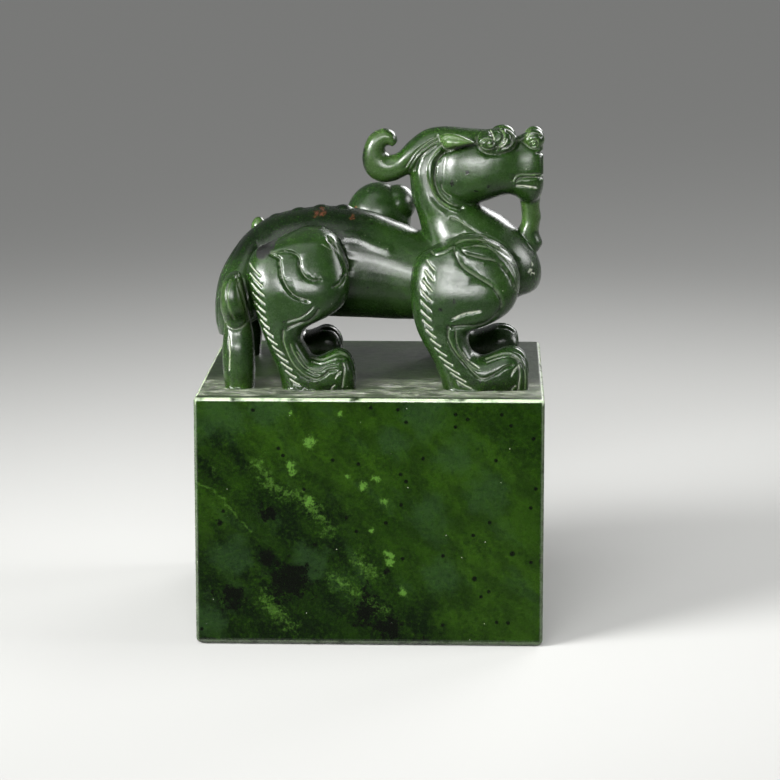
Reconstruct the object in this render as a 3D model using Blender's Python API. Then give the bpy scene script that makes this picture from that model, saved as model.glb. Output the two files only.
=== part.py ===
"""Jade seal stamp: a square block with a horned beast standing on it, carved from one stone.

Metres, +Z up. The beast faces +X and shows its near side to -Y. The origin is the middle of
the block's underside, which is the face that prints.
"""

import math

import bmesh
import bpy
import numpy as np
from mathutils import Vector

# Block
BLOCK_SIDE = 0.064
BLOCK_HEIGHT = 0.0464
UPRIGHT_EDGE_ROUND = 0.0007
TOP_EDGE_ROUND = 0.0007
FOOT_EDGE_ROUND = 0.0013

# The beast is cut to the block's own width, between these margins at muzzle and tail
MUZZLE_MARGIN = 0.0001
TAIL_MARGIN = 0.0016
MIDPLANE_Y = -0.002  # the beast stands a little nearer the viewer's side
STONE_GREEN = (0.028, 0.085, 0.030, 1.0)

# Free form: everything below is in shares of the beast's length, of which it is 62.3 long
LENGTH_SHARES = 62.3
MUZZLE_X = 31.9  # the muzzle's place in those shares, from the figure's own origin
SHARE = (BLOCK_SIDE - MUZZLE_MARGIN - TAIL_MARGIN) / LENGTH_SHARES
ORIGIN_X = BLOCK_SIDE / 2 - MUZZLE_MARGIN - MUZZLE_X * SHARE
FAR_STEP = -1.6  # the far legs stand this much behind the near ones
FAR_HIND_STEP = -4.0  # and the far hind leg leans back this much at its foot
FAR_TAIL_STEP = -1.4
FAR_PAW = 0.84  # the far paws' height, as a share of the near paws'
VOXEL = 0.40 * SHARE
TRIANGLES = 8600

# Ribs: upper or rear point x, z, then lower or front point x, z, then half width across
SAG = 0.15  # the barrel and the head are this much wider low down, and narrower high up
ROUND_SQUARENESS = 2.3  # power of the rings' curve, where 2 is an ellipse
HEAD_SQUARENESS = 2.6
LEG_SQUARENESS = 2.9
BARREL = (
    (-25.6, 24.6, -24.0, 20.0, 3.0),
    (-23.6, 27.0, -22.0, 14.5, 6.5),
    (-19.5, 29.6, -18.0, 12.5, 9.2),
    (-14.0, 31.0, -13.0, 11.0, 10.0),
    (-8.0, 31.5, -7.5, 10.6, 9.8),
    (-1.0, 30.6, -1.0, 10.4, 9.6),
    (5.0, 28.4, 5.0, 10.2, 9.8),
    (10.0, 26.6, 11.0, 10.4, 10.2),
    (17.0, 26.5, 18.0, 11.5, 10.0),
    (23.0, 25.5, 24.5, 13.0, 8.5),
    (27.5, 22.5, 27.5, 15.4, 5.5),
)
NECK = (
    (9.0, 44.0, 17.5, 42.0, 4.0),
    (6.8, 39.0, 17.5, 37.5, 5.0),
    (6.8, 35.6, 18.6, 33.4, 5.4),
    (7.3, 32.6, 20.4, 31.7, 6.0),
    (8.3, 29.6, 24.0, 29.8, 7.0),
    (9.0, 26.4, 27.5, 26.9, 8.6),
    (9.5, 23.0, 30.2, 23.7, 9.8),
    (10.5, 19.0, 31.6, 19.8, 10.0),
    (12.5, 15.5, 31.0, 16.4, 9.2),
    (15.5, 13.5, 28.0, 14.9, 7.0),
)
HEAD = (
    (11.7, 39.6, 11.7, 36.2, 2.6),
    (12.8, 42.6, 12.6, 33.6, 4.6),
    (14.6, 44.9, 14.4, 32.3, 5.8),
    (17.5, 46.0, 17.4, 31.8, 6.4),
    (20.6, 46.1, 20.6, 32.6, 6.5),
    (23.6, 46.4, 23.6, 33.6, 6.1),
    (25.4, 45.8, 25.4, 33.9, 5.7),
    (26.8, 44.9, 26.7, 33.6, 5.4),
    (28.2, 45.5, 27.9, 32.7, 5.2),
    (29.8, 45.9, 29.6, 32.2, 5.1),
    (31.2, 45.2, 31.1, 33.3, 4.7),
    (31.75, 43.4, 31.85, 35.2, 3.7),
)
CREST = (
    (22.0, 46.1, 19.0, 42.0, 3.0),
    (17.7, 46.4, 14.5, 41.5, 3.8),
    (12.9, 46.7, 11.0, 40.4, 3.8),
    (9.4, 46.0, 8.2, 38.6, 3.6),
    (6.5, 43.9, 5.4, 37.1, 3.4),
    (4.6, 41.9, 3.4, 36.3, 3.1),
    (3.1, 41.3, 0.9, 36.2, 2.9),
    (2.3, 41.7, -1.6, 37.9, 2.7),
    (2.0, 42.3, -2.35, 41.1, 2.6),
    (2.1, 42.8, -1.1, 44.8, 2.5),
    (2.5, 43.1, 1.6, 46.3, 2.4),
    (3.0, 43.0, 3.7, 45.6, 2.3),
    (3.3, 42.8, 4.4, 43.9, 1.9),
)
BEARD = (
    (27.2, 34.0, 31.4, 34.0, 3.0),
    (27.7, 31.2, 31.2, 31.6, 2.8),
    (27.8, 28.9, 31.5, 29.6, 2.8),
    (27.0, 26.6, 31.1, 26.9, 3.0),
    (27.6, 24.6, 31.8, 24.7, 3.0),
    (28.2, 22.8, 31.0, 23.1, 2.4),
)
# These ribs and the legs' add the middle of the form, measured outward from the midplane
EAR = (
    (12.2, 45.3, 12.3, 44.8, 3.7, 0.6),
    (12.9, 45.8, 12.7, 43.8, 4.7, 1.3),
    (14.4, 46.0, 14.2, 42.9, 5.5, 1.5),
    (16.2, 45.6, 16.0, 43.5, 6.0, 1.3),
    (17.8, 44.9, 17.7, 43.9, 6.2, 0.9),
    (19.0, 44.3, 19.0, 44.1, 6.0, 0.4),
)
FORE_LEG = (
    (15.6, 27.4, 20.6, 27.4, 12.5, 3.0),
    (12.4, 26.2, 24.0, 26.0, 13.5, 5.4),
    (8.4, 24.0, 26.2, 23.6, 14.0, 5.9),
    (7.3, 20.6, 27.4, 20.4, 14.5, 6.4),
    (7.15, 17.4, 27.2, 17.2, 14.9, 6.8),
    (7.4, 14.6, 25.8, 14.4, 15.3, 6.5),
    (7.9, 12.4, 22.6, 12.2, 15.8, 5.9),
    (8.5, 10.6, 18.6, 10.6, 16.4, 5.3),
    (9.4, 8.8, 18.0, 8.6, 16.9, 5.0),
    (10.9, 6.2, 18.9, 6.2, 17.1, 4.9),
    (12.2, 3.6, 20.5, 3.2, 17.2, 4.9),
    (13.2, 0.4, 22.5, 0.4, 17.3, 5.0),
    (13.3, -1.5, 22.5, -1.5, 17.3, 5.0),
)
FORE_PAW = (
    (17.0, 8.0, 16.0, -1.5, 17.2, 4.7),
    (20.2, 6.0, 20.2, -1.5, 17.3, 4.9),
    (22.6, 6.6, 22.6, -1.5, 17.3, 5.1),
    (25.0, 7.6, 25.0, -1.5, 17.2, 5.2),
    (27.2, 7.4, 27.2, -1.5, 17.0, 4.8),
    (28.7, 6.0, 28.6, -1.5, 16.9, 4.1),
    (29.2, 4.0, 29.1, -1.5, 16.9, 3.2),
)
HIND_LEG = (
    (-13.2, 28.7, -9.4, 28.8, 10.0, 3.0),
    (-17.0, 27.0, -6.8, 27.4, 12.0, 5.4),
    (-21.6, 25.0, -5.6, 24.8, 13.2, 5.9),
    (-23.15, 21.8, -4.5, 21.4, 14.2, 6.4),
    (-22.9, 18.4, -4.1, 18.2, 14.9, 6.7),
    (-22.2, 15.8, -5.2, 15.2, 15.4, 6.3),
    (-21.4, 13.4, -7.9, 13.2, 15.9, 5.7),
    (-20.6, 11.2, -11.8, 11.2, 16.4, 5.2),
    (-19.8, 9.2, -12.8, 9.0, 16.8, 5.0),
    (-18.7, 6.4, -11.6, 6.6, 17.0, 4.9),
    (-17.5, 3.8, -9.5, 3.6, 17.2, 4.9),
    (-16.7, 0.6, -7.5, 0.6, 17.3, 5.0),
    (-16.7, -1.5, -7.5, -1.5, 17.3, 5.0),
)
HIND_PAW = (
    (-13.4, 7.6, -14.0, -1.5, 17.2, 4.7),
    (-10.6, 5.7, -10.6, -1.5, 17.3, 4.9),
    (-8.6, 6.1, -8.6, -1.5, 17.3, 5.1),
    (-6.4, 7.1, -6.4, -1.5, 17.2, 5.2),
    (-4.5, 6.6, -4.5, -1.5, 17.0, 4.8),
    (-3.4, 5.0, -3.4, -1.5, 16.9, 4.1),
    (-2.95, 3.4, -2.95, -1.5, 16.9, 3.2),
)
TAIL = (
    (-20.5, 27.6, -17.0, 24.0, 0.0, 4.0),
    (-24.0, 26.6, -18.5, 20.5, 0.0, 7.0),
    (-27.0, 23.0, -19.2, 16.8, 0.0, 11.0),
    (-29.2, 19.0, -20.0, 13.6, 0.0, 14.2),
    (-30.1, 15.0, -20.8, 11.4, 0.0, 15.0),
    (-30.2, 11.0, -22.6, 10.2, 0.0, 13.5),
    (-29.6, 8.0, -25.5, 8.8, 0.0, 11.0),
)
TAIL_LOCK = (
    (-26.4, 20.9, -24.6, 21.2, 15.6, 2.0),
    (-27.4, 19.6, -23.9, 20.2, 17.2, 3.4),
    (-27.9, 17.0, -23.3, 17.4, 18.0, 3.9),
    (-27.8, 14.4, -22.8, 14.6, 18.0, 3.8),
    (-27.3, 12.2, -22.5, 12.6, 17.3, 2.9),
    (-27.4, 10.4, -22.0, 10.2, 17.2, 3.1),
    (-27.6, 7.6, -21.7, 7.8, 17.6, 3.7),
    (-27.6, 4.0, -21.5, 4.0, 17.8, 3.8),
    (-27.3, 0.6, -21.7, 0.6, 17.8, 3.6),
    (-27.2, -1.5, -21.8, -1.5, 17.8, 3.6),
)

# Balls worked into the form: centre x, y, z, then radii. The first three sit on both sides
FACE_BALLS = (
    ((21.3, 5.3, 44.1), (1.9, 1.7, 1.6)),  # eye
    ((24.1, 4.0, 44.4), (2.6, 2.4, 2.35)),  # brow
    ((30.1, 2.6, 44.6), (1.9, 2.2, 2.0)),  # nostril
)
FAR_BALLS = (
    ((0.3, 11.0, 27.9), (6.3, 6.3, 6.9)),  # rounded hump on the far slope of the back
    ((4.0, 11.0, 30.6), (3.5, 4.5, 3.8)),  # and its shoulder toward the neck
    ((-22.6, 7.0, 26.3), (1.5, 1.8, 2.3)),  # curled tip on the far side of the rump
    ((-29.0, 12.0, 13.0), (1.6, 2.4, 3.0)),  # knob on the far side of the tail
)
# The scalloped ridge over the rump: low swellings whose tops lie on an arc
SCALLOPS = 4
SCALLOP_FIRST_X = -18.2
SCALLOP_PITCH = 4.07
SCALLOP_RADII = (2.35, 2.2, 1.9)
RIDGE_TOP = (-8.0, 31.95)
RIDGE_CURVE = 0.0173
# A far leg leans between these heights
LEAN_TOP = 20.0
LEAN_DROP = 12.0

# Carved lines, each run on x and z over the side of the form: half width, depth and points
HEAD_LINES = (
    # mouth
    (0.55, 0.60, ((26.4, 37.2), (27.6, 37.7), (29.6, 37.8), (32.2, 37.7))),
    # edge of the cheek and the band of mane behind it
    (0.70, 0.60, ((15.4, 43.0), (13.1, 42.0), (11.8, 39.8), (11.5, 37.1), (12.2, 34.7), (14.1, 32.9),
                  (16.6, 32.0))),
    (0.60, 0.45, ((12.6, 43.3), (10.5, 41.1), (9.8, 38.7), (10.4, 36.1), (11.8, 33.6), (14.0, 32.1))),
    # socket of the eye, and the parting of the brow
    (0.60, 0.50, ((19.5, 44.9), (19.6, 43.8), (20.6, 42.5), (22.7, 42.1), (25.1, 42.5), (26.5, 43.6),
                  (26.6, 44.6))),
    (0.50, 0.45, ((22.6, 43.2), (24.0, 44.6), (24.1, 46.2))),
)
FORE_LINES = (
    # leaf on the shoulder
    (0.70, 0.50, ((15.4, 25.8), (15.9, 24.1), (18.2, 21.9), (21.2, 20.1), (23.4, 18.0), (23.9, 15.5),
                  (22.1, 13.1), (19.9, 12.1), (16.4, 12.1))),
    (0.60, 0.40, ((16.7, 25.8), (19.1, 24.5), (22.1, 24.1), (24.4, 22.5), (26.0, 19.8), (27.2, 17.5))),
    # front of the shank and the top of the paw
    (0.60, 0.45, ((14.2, 11.2), (14.8, 8.8), (16.9, 5.8), (19.4, 3.1), (21.8, 2.7), (24.0, 4.3),
                  (26.0, 5.0))),
    (0.50, 0.30, ((15.1, 13.6), (17.2, 14.5), (20.1, 15.0))),
)
HIND_LINES = (
    # scrolls of the haunch
    (0.70, 0.50, ((-18.5, 25.0), (-16.1, 25.5), (-13.4, 24.7), (-12.8, 22.3), (-11.3, 20.7), (-9.5, 20.4))),
    (0.70, 0.50, ((-18.1, 24.9), (-16.5, 23.6), (-16.1, 20.7), (-14.2, 17.9), (-11.4, 16.8))),
    (0.60, 0.50, ((-7.9, 27.6), (-5.7, 24.4), (-4.6, 21.3), (-5.6, 19.7), (-7.0, 19.0))),
    # hollow of the knee, front of the shank and the top of the paw
    (0.50, 0.35, ((-15.2, 11.9), (-12.6, 12.7), (-10.5, 13.8), (-9.6, 15.2))),
    (0.60, 0.45, ((-16.0, 11.1), (-15.3, 7.1), (-12.9, 3.5), (-9.9, 2.2), (-7.6, 3.8), (-6.2, 4.1))),
)
LIP_NOTCHES = (42.2, 37.7)  # heights of the notches round the front of the muzzle
LIP_NOTCH_DEPTH = 0.6
LIP_NOTCH_HALF = 0.6
LIP_FRONT = (30.2, 31.2)  # where the lip notches begin, and where they are at full depth
# Scoops at the deep end of the valley between haunch and back: centre x, y, z and radius
RUMP_SCOOPS = (
    ((-20.1, 15.0, 26.9), 2.3),
    ((-19.4, 11.6, 27.0), 2.6),
)
TOE_PITCH = 2.3
TOE_DEPTH = 0.6
TOE_HALF = 0.8  # half width of a groove between two toes
TOE_TOP = 8.2
TOE_RUN = (4.6, 3.1)  # how far behind the paw's tip the grooves begin and reach full depth
TOE_PAST = 1.0  # the grooves end this far past the tip
HEAD_LINES_FROM = 1.6  # carved lines lie further out from the midplane than this on the head,
LEG_LINES_FROM = 8.0  # and than this on the legs
FACING_GAIN = 2.5  # a line fades out where the form turns this steeply away from its side


def place(x, y, z):
    """A point of the figure, y measured from its midplane toward the far side."""
    return Vector((ORIGIN_X + x * SHARE, MIDPLANE_Y + y * SHARE, BLOCK_HEIGHT + z * SHARE))


def smooth_stations(stations, between=3):
    """Stations with more worked out between them, on a curve through them all."""
    rows = np.array(stations, float)
    ends = np.vstack([2 * rows[0] - rows[1], rows, 2 * rows[-1] - rows[-2]])
    full = []
    for before, a, b, after in zip(ends, ends[1:], ends[2:], ends[3:]):
        for step in range(between):
            t = step / between
            bend = 2 * before - 5 * a + 4 * b - after
            turn = 3 * a - before - 3 * b + after
            full.append((2 * a + (b - before) * t + bend * t * t + turn * t**3) / 2)
    full.append(rows[-1])
    return full


def add_rings(bm, rings):
    """A closed skin over rings of points, with a flat cap at each end."""
    loops = [[bm.verts.new(point) for point in ring] for ring in rings]
    count = len(loops[0])
    for low, high in zip(loops, loops[1:]):
        for k in range(count):
            n = (k + 1) % count
            bm.faces.new((low[k], low[n], high[n], high[k]))
    bm.faces.new(loops[0][::-1])
    bm.faces.new(loops[-1])


def leaned(x, z, step, foot_step):
    """x moved by the step at the top of a leg and by the foot's step at its foot."""
    lean = np.clip((LEAN_TOP - z) / LEAN_DROP, 0.0, 1.0)
    return x + step + (foot_step - step) * lean


def add_ribbed(bm, ribs, side=1, step=0.0, foot_step=0.0, sag=0.0, squareness=ROUND_SQUARENESS, around=24):
    """A limb or body through ribs, on the near side (-1) or the far side (1) of the midplane."""
    rings = []
    for station in smooth_stations(ribs):
        x1, z1, x2, z2 = station[:4]
        middle, half = (station[4], station[5]) if len(station) == 6 else (0.0, station[4])
        ring = []
        for k in range(around):
            angle = 2 * math.pi * k / around
            c, s = math.cos(angle), math.sin(angle)
            along = math.copysign(abs(c) ** (2 / squareness), c)
            across = math.copysign(abs(s) ** (2 / squareness), s)
            z = (z1 + z2 + along * (z2 - z1)) / 2
            x = leaned((x1 + x2 + along * (x2 - x1)) / 2, z, step, foot_step)
            ring.append(place(x, side * middle + across * half * (1 + sag * along), z))
        rings.append(ring)
    add_rings(bm, rings)


def add_ball(bm, centre, radii):
    """An ellipsoid, its centre and its three radii in the figure's shares."""
    made = bmesh.ops.create_icosphere(bm, subdivisions=3, radius=1.0)["verts"]
    for vert in made:
        x, y, z = (c + r * v for c, r, v in zip(centre, radii, vert.co))
        vert.co = place(x, y, z)


def add_spine_scallops(bm):
    """The scalloped ridge over the rump, a row of low swellings."""
    for k in range(SCALLOPS):
        x = SCALLOP_FIRST_X + SCALLOP_PITCH * k
        top = RIDGE_TOP[1] - RIDGE_CURVE * (x - RIDGE_TOP[0]) ** 2
        add_ball(bm, (x, 0, top - SCALLOP_RADII[2]), SCALLOP_RADII)


def lowered(ribs, share):
    """Ribs with every height above the block cut to this share."""
    return [(r[0], r[1] * share, r[2], r[3] * share, *r[4:]) for r in ribs]


def beast_bmesh():
    bm = bmesh.new()
    add_ribbed(bm, BARREL, sag=SAG)
    add_ribbed(bm, HEAD, sag=SAG, squareness=HEAD_SQUARENESS)
    for ribs in (NECK, CREST, BEARD, TAIL):
        add_ribbed(bm, ribs)
    for leg, paw, foot_step in ((FORE_LEG, FORE_PAW, FAR_STEP), (HIND_LEG, HIND_PAW, FAR_HIND_STEP)):
        add_ribbed(bm, leg, -1, squareness=LEG_SQUARENESS)
        add_ribbed(bm, paw, -1)
        add_ribbed(bm, leg, 1, FAR_STEP, foot_step, squareness=LEG_SQUARENESS)
        add_ribbed(bm, lowered(paw, FAR_PAW), 1, FAR_STEP, foot_step)
    add_ribbed(bm, TAIL_LOCK, -1)
    add_ribbed(bm, TAIL_LOCK, 1, FAR_TAIL_STEP, FAR_TAIL_STEP)
    for side in (-1, 1):
        add_ribbed(bm, EAR, side)
        for (x, y, z), radii in FACE_BALLS:
            add_ball(bm, (x, side * y, z), radii)
    for centre, radii in FAR_BALLS:
        add_ball(bm, centre, radii)
    add_spine_scallops(bm)
    bmesh.ops.recalc_face_normals(bm, faces=bm.faces)
    return bm


def add_object(name, bm):
    mesh = bpy.data.meshes.new(name)
    bm.to_mesh(mesh)
    bm.free()
    obj = bpy.data.objects.new(name, mesh)
    bpy.context.scene.collection.objects.link(obj)
    return obj


def fused_skin():
    """The figure's forms fused into one mesh and eased where they meet."""
    obj = add_object("beast_forms", beast_bmesh())
    fuse = obj.modifiers.new("fuse", "REMESH")
    fuse.mode = "VOXEL"
    fuse.voxel_size = VOXEL
    ease = obj.modifiers.new("ease", "SMOOTH")
    ease.factor = 0.5
    ease.iterations = 4
    mesh = bpy.data.meshes.new_from_object(obj.evaluated_get(bpy.context.evaluated_depsgraph_get()))
    bpy.data.objects.remove(obj)
    return mesh


def cut_by_run(points, run, half_width):
    """How deep a V cut along a smooth run is at each x, z point, as a share of its depth."""
    line = np.array(smooth_stations(run, 4))
    nearest = np.full(len(points), np.inf)
    for a, b in zip(line, line[1:]):
        along = b - a
        t = np.clip((points - a) @ along / (along @ along), 0, 1)
        away = np.linalg.norm(points - a - t[:, None] * along, axis=1)
        nearest = np.minimum(nearest, away)
    return np.clip(1 - nearest / half_width, 0, 1)


def cut_between_toes(x, y, z, paw, side, step):
    """How deep the three grooves between a paw's toes are at each point."""
    tip = paw[-1][0] + step
    begun = np.clip((x - tip + TOE_RUN[0]) / (TOE_RUN[0] - TOE_RUN[1]), 0, 1)
    near_tip = begun * (z < TOE_TOP) * (x < tip + TOE_PAST)
    depth = np.zeros(len(x))
    for gap in (-TOE_PITCH, 0.0, TOE_PITCH):
        away = np.abs(side * y - paw[-1][4] - gap)
        depth = np.maximum(depth, TOE_DEPTH * np.clip(1 - away / TOE_HALF, 0, 1) * near_tip)
    return depth


def scooped(spots, facing, centre, radius):
    """How far points inside a ball sink, along their normals, to reach the ball's far side."""
    offset = spots - np.array(centre)
    toward = np.einsum("ij,ij->i", offset, facing)
    inside = radius**2 - np.einsum("ij,ij->i", offset, offset)
    return np.where(inside > 0, toward + np.sqrt(np.maximum(toward**2 + inside, 0)), 0.0)


def carve(mesh):
    """Sinks the carved lines into the skin along its own normals, on both sides."""
    count = len(mesh.vertices)
    spots = np.empty(count * 3)
    mesh.vertices.foreach_get("co", spots)
    spots = spots.reshape(-1, 3)
    facing = np.empty(count * 3)
    mesh.vertex_normals.foreach_get("vector", facing)
    facing = facing.reshape(-1, 3)
    shares = (spots - np.array(place(0, 0, 0))) / SHARE
    x, y, z = shares.T
    depth = np.zeros(count)
    groups = (
        (HEAD_LINES, 0.0, 0.0, HEAD_LINES_FROM),
        (FORE_LINES, FAR_STEP, FAR_STEP, LEG_LINES_FROM),
        (HIND_LINES, FAR_STEP, FAR_HIND_STEP, LEG_LINES_FROM),
    )
    for lines, step, foot_step, inner in groups:
        for side in (-1, 1):
            home = leaned(x, z, -step, -foot_step) if side == 1 else x
            flat = np.column_stack([home, z])
            turned = np.clip(side * facing[:, 1] * FACING_GAIN, 0, 1) * (side * y > inner)
            for half_width, sink, run in lines:
                depth = np.maximum(depth, sink * cut_by_run(flat, run, half_width) * turned)
    for side, step in ((-1, 0.0), (1, FAR_STEP)):
        depth = np.maximum(depth, cut_between_toes(x, y, z, FORE_PAW, side, step))
    for side, step in ((-1, 0.0), (1, FAR_HIND_STEP)):
        depth = np.maximum(depth, cut_between_toes(x, y, z, HIND_PAW, side, step))
    for (cx, cy, cz), radius in RUMP_SCOOPS:
        depth = np.maximum(depth, scooped(shares, facing, (cx, -cy, cz), radius))
        depth = np.maximum(depth, scooped(shares, facing, (cx + FAR_STEP, cy, cz), radius))
    at_front = np.clip((x - LIP_FRONT[0]) / (LIP_FRONT[1] - LIP_FRONT[0]), 0, 1) * (facing[:, 0] > 0.1)
    for height in LIP_NOTCHES:
        notch = np.clip(1 - np.abs(z - height) / LIP_NOTCH_HALF, 0, 1) * at_front
        depth = np.maximum(depth, LIP_NOTCH_DEPTH * notch)
    spots -= facing * (depth * SHARE)[:, None]
    mesh.vertices.foreach_set("co", spots.ravel())
    mesh.update()


def beast():
    """The figure as one carved skin, thinned out to few triangles."""
    mesh = fused_skin()
    carve(mesh)
    obj = bpy.data.objects.new("beast_form", mesh)
    bpy.context.scene.collection.objects.link(obj)
    thin = obj.modifiers.new("thin", "DECIMATE")
    thin.ratio = TRIANGLES / (2 * len(mesh.polygons))
    obj.hide_render = True
    obj.display_type = "WIRE"
    return obj


def square_ring(half, corner, z, steps=4):
    """Points round a square of this half side with rounded corners."""
    ring = []
    for quarter in range(4):
        turn = quarter * math.pi / 2
        for step in range(steps + 1):
            angle = turn + step / steps * math.pi / 2
            x = half - corner
            cx = x * (1 if quarter in (0, 3) else -1)
            cy = x * (1 if quarter in (0, 1) else -1)
            ring.append(Vector((cx + corner * math.cos(angle), cy + corner * math.sin(angle), z)))
    return ring


def block():
    """The block: square rings, drawn in round the foot and the top edge."""
    rings = []
    for step in range(6):
        angle = step / 5 * math.pi / 2
        inset = FOOT_EDGE_ROUND * (1 - math.sin(angle))
        z = FOOT_EDGE_ROUND * (1 - math.cos(angle))
        rings.append(square_ring(BLOCK_SIDE / 2 - inset, UPRIGHT_EDGE_ROUND, z))
    for step in range(4):
        angle = step / 3 * math.pi / 2
        inset = TOP_EDGE_ROUND * (1 - math.cos(angle))
        z = BLOCK_HEIGHT - TOP_EDGE_ROUND * (1 - math.sin(angle))
        rings.append(square_ring(BLOCK_SIDE / 2 - inset, UPRIGHT_EDGE_ROUND, z))
    bm = bmesh.new()
    add_rings(bm, rings)
    return add_object("jade_seal", bm)


def jade():
    material = bpy.data.materials.new("green_jade")
    material.use_nodes = True
    shader = material.node_tree.nodes["Principled BSDF"]
    shader.inputs["Base Color"].default_value = STONE_GREEN
    shader.inputs["Roughness"].default_value = 0.22
    shader.inputs["IOR"].default_value = 1.61
    material.diffuse_color = STONE_GREEN
    return material


def main():
    for obj in list(bpy.data.objects):
        bpy.data.objects.remove(obj)
    figure = beast()
    seal = block()
    join = seal.modifiers.new("beast", "BOOLEAN")
    join.operation = "UNION"
    join.solver = "EXACT"
    join.object = figure
    seal.data.materials.append(jade())


main()
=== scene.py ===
"""Looks for the jade seal stamp: the same stone at full detail, its polish, and a soft studio.

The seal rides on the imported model's root body and stands for its one solid. Lengths are in
metres unless a comment says otherwise; the figure is laid out in shares of its own length.
"""

import math

import bmesh
import bpy
import numpy as np
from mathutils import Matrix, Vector
from mathutils.bvhtree import BVHTree


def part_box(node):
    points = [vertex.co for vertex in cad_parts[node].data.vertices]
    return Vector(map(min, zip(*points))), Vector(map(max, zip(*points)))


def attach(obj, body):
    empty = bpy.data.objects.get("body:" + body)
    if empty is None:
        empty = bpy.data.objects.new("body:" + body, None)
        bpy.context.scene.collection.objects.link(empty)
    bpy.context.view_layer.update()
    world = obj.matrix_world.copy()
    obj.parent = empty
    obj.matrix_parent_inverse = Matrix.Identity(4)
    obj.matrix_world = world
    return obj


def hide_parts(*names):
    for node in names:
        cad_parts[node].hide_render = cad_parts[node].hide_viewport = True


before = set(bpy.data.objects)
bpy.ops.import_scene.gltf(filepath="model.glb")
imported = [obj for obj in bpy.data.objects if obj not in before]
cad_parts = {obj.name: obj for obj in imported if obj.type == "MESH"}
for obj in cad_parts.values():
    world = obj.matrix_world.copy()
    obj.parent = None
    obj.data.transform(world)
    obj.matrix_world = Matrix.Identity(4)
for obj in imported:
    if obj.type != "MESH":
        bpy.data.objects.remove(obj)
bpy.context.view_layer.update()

# Block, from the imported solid's box
LOW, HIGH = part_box("jade_seal")
BLOCK_SIDE = HIGH[0] - LOW[0]
BLOCK_HEIGHT = 0.0464
UPRIGHT_EDGE_ROUND = 0.0007
TOP_EDGE_ROUND = 0.0007
FOOT_EDGE_ROUND = 0.0013
EDGE_CHIPS = (0.0105, 0.0152)  # places along the front top edge of two small chips
CHIP_RADII = (0.0010, 0.0005, 0.0004)
THIN_STONE = 0.0068  # thinner stone than this gets the painted glow, lighter green standing in for light through it
RAY_START = 0.0003  # the stone's depth is felt from just under the skin
RAY_REACH = 0.02

# The beast is cut to the block's own width, between these margins at muzzle and tail
MUZZLE_MARGIN = 0.0001
TAIL_MARGIN = 0.0016
MIDPLANE_Y = -0.002
LENGTH_SHARES = 62.3
MUZZLE_X = 31.9
SHARE = (BLOCK_SIDE - MUZZLE_MARGIN - TAIL_MARGIN) / LENGTH_SHARES
ORIGIN_X = BLOCK_SIDE / 2 - MUZZLE_MARGIN - MUZZLE_X * SHARE
FAR_STEP = -1.6  # the far side's forms stand this much further back
FAR_HIND_STEP = -4.0
FAR_TAIL_STEP = -1.4
FAR_PAW = 0.84  # height of a far paw, as a share of the near one's
VOXEL = 0.155 * SHARE
TRIANGLES = 165000
EASE_STEPS = 22
FOOT_STEPS = 8
TOP_STEPS = 6
FLAT_FACING = 0.9999  # a face whose normal is this near to an axis is flat
HEIGHT_SLACK = 0.00001

# Ribs: upper or rear point x, z, then lower or front point x, z, then half width across
RIB_STEPS = 6  # stations from each rib to the next
AROUND = 48  # points round each station
SAG = 0.15  # barrel and head are this much wider low down, and narrower high up
ROUND_SQUARENESS = 2.3  # power of the rings' curve, where 2 is an ellipse
HEAD_SQUARENESS = 2.6
LEG_SQUARENESS = 2.9
BARREL = (
    (-25.6, 24.6, -24.0, 20.0, 3.0),
    (-23.6, 27.0, -22.0, 14.5, 6.5),
    (-19.5, 29.6, -18.0, 12.5, 9.2),
    (-14.0, 31.0, -13.0, 11.0, 10.0),
    (-8.0, 31.5, -7.5, 10.6, 9.8),
    (-1.0, 30.6, -1.0, 10.4, 9.6),
    (5.0, 28.4, 5.0, 10.2, 9.8),
    (10.0, 26.6, 11.0, 10.4, 10.2),
    (17.0, 26.5, 18.0, 11.5, 10.0),
    (23.0, 25.5, 24.5, 13.0, 8.5),
    (27.5, 22.5, 27.5, 15.4, 5.5),
)
NECK = (
    (9.0, 44.0, 17.5, 42.0, 4.0),
    (6.8, 39.0, 17.5, 37.5, 5.0),
    (6.8, 35.6, 18.6, 33.4, 5.4),
    (7.3, 32.6, 20.4, 31.7, 6.0),
    (8.3, 29.6, 24.0, 29.8, 7.0),
    (9.0, 26.4, 27.5, 26.9, 8.6),
    (9.5, 23.0, 30.2, 23.7, 9.8),
    (10.5, 19.0, 31.6, 19.8, 10.0),
    (12.5, 15.5, 31.0, 16.4, 9.2),
    (15.5, 13.5, 28.0, 14.9, 7.0),
)
HEAD = (
    (11.7, 39.6, 11.7, 36.2, 2.6),
    (12.8, 42.6, 12.6, 33.6, 4.6),
    (14.6, 44.9, 14.4, 32.3, 5.8),
    (17.5, 46.0, 17.4, 31.8, 6.4),
    (20.6, 46.1, 20.6, 32.6, 6.5),
    (23.6, 46.4, 23.6, 33.6, 6.1),
    (25.4, 45.8, 25.4, 33.9, 5.7),
    (26.8, 44.9, 26.7, 33.6, 5.4),
    (28.2, 45.5, 27.9, 32.7, 5.2),
    (29.8, 45.9, 29.6, 32.2, 5.1),
    (31.2, 45.2, 31.1, 33.3, 4.7),
    (31.75, 43.4, 31.85, 35.2, 3.7),
)
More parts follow.
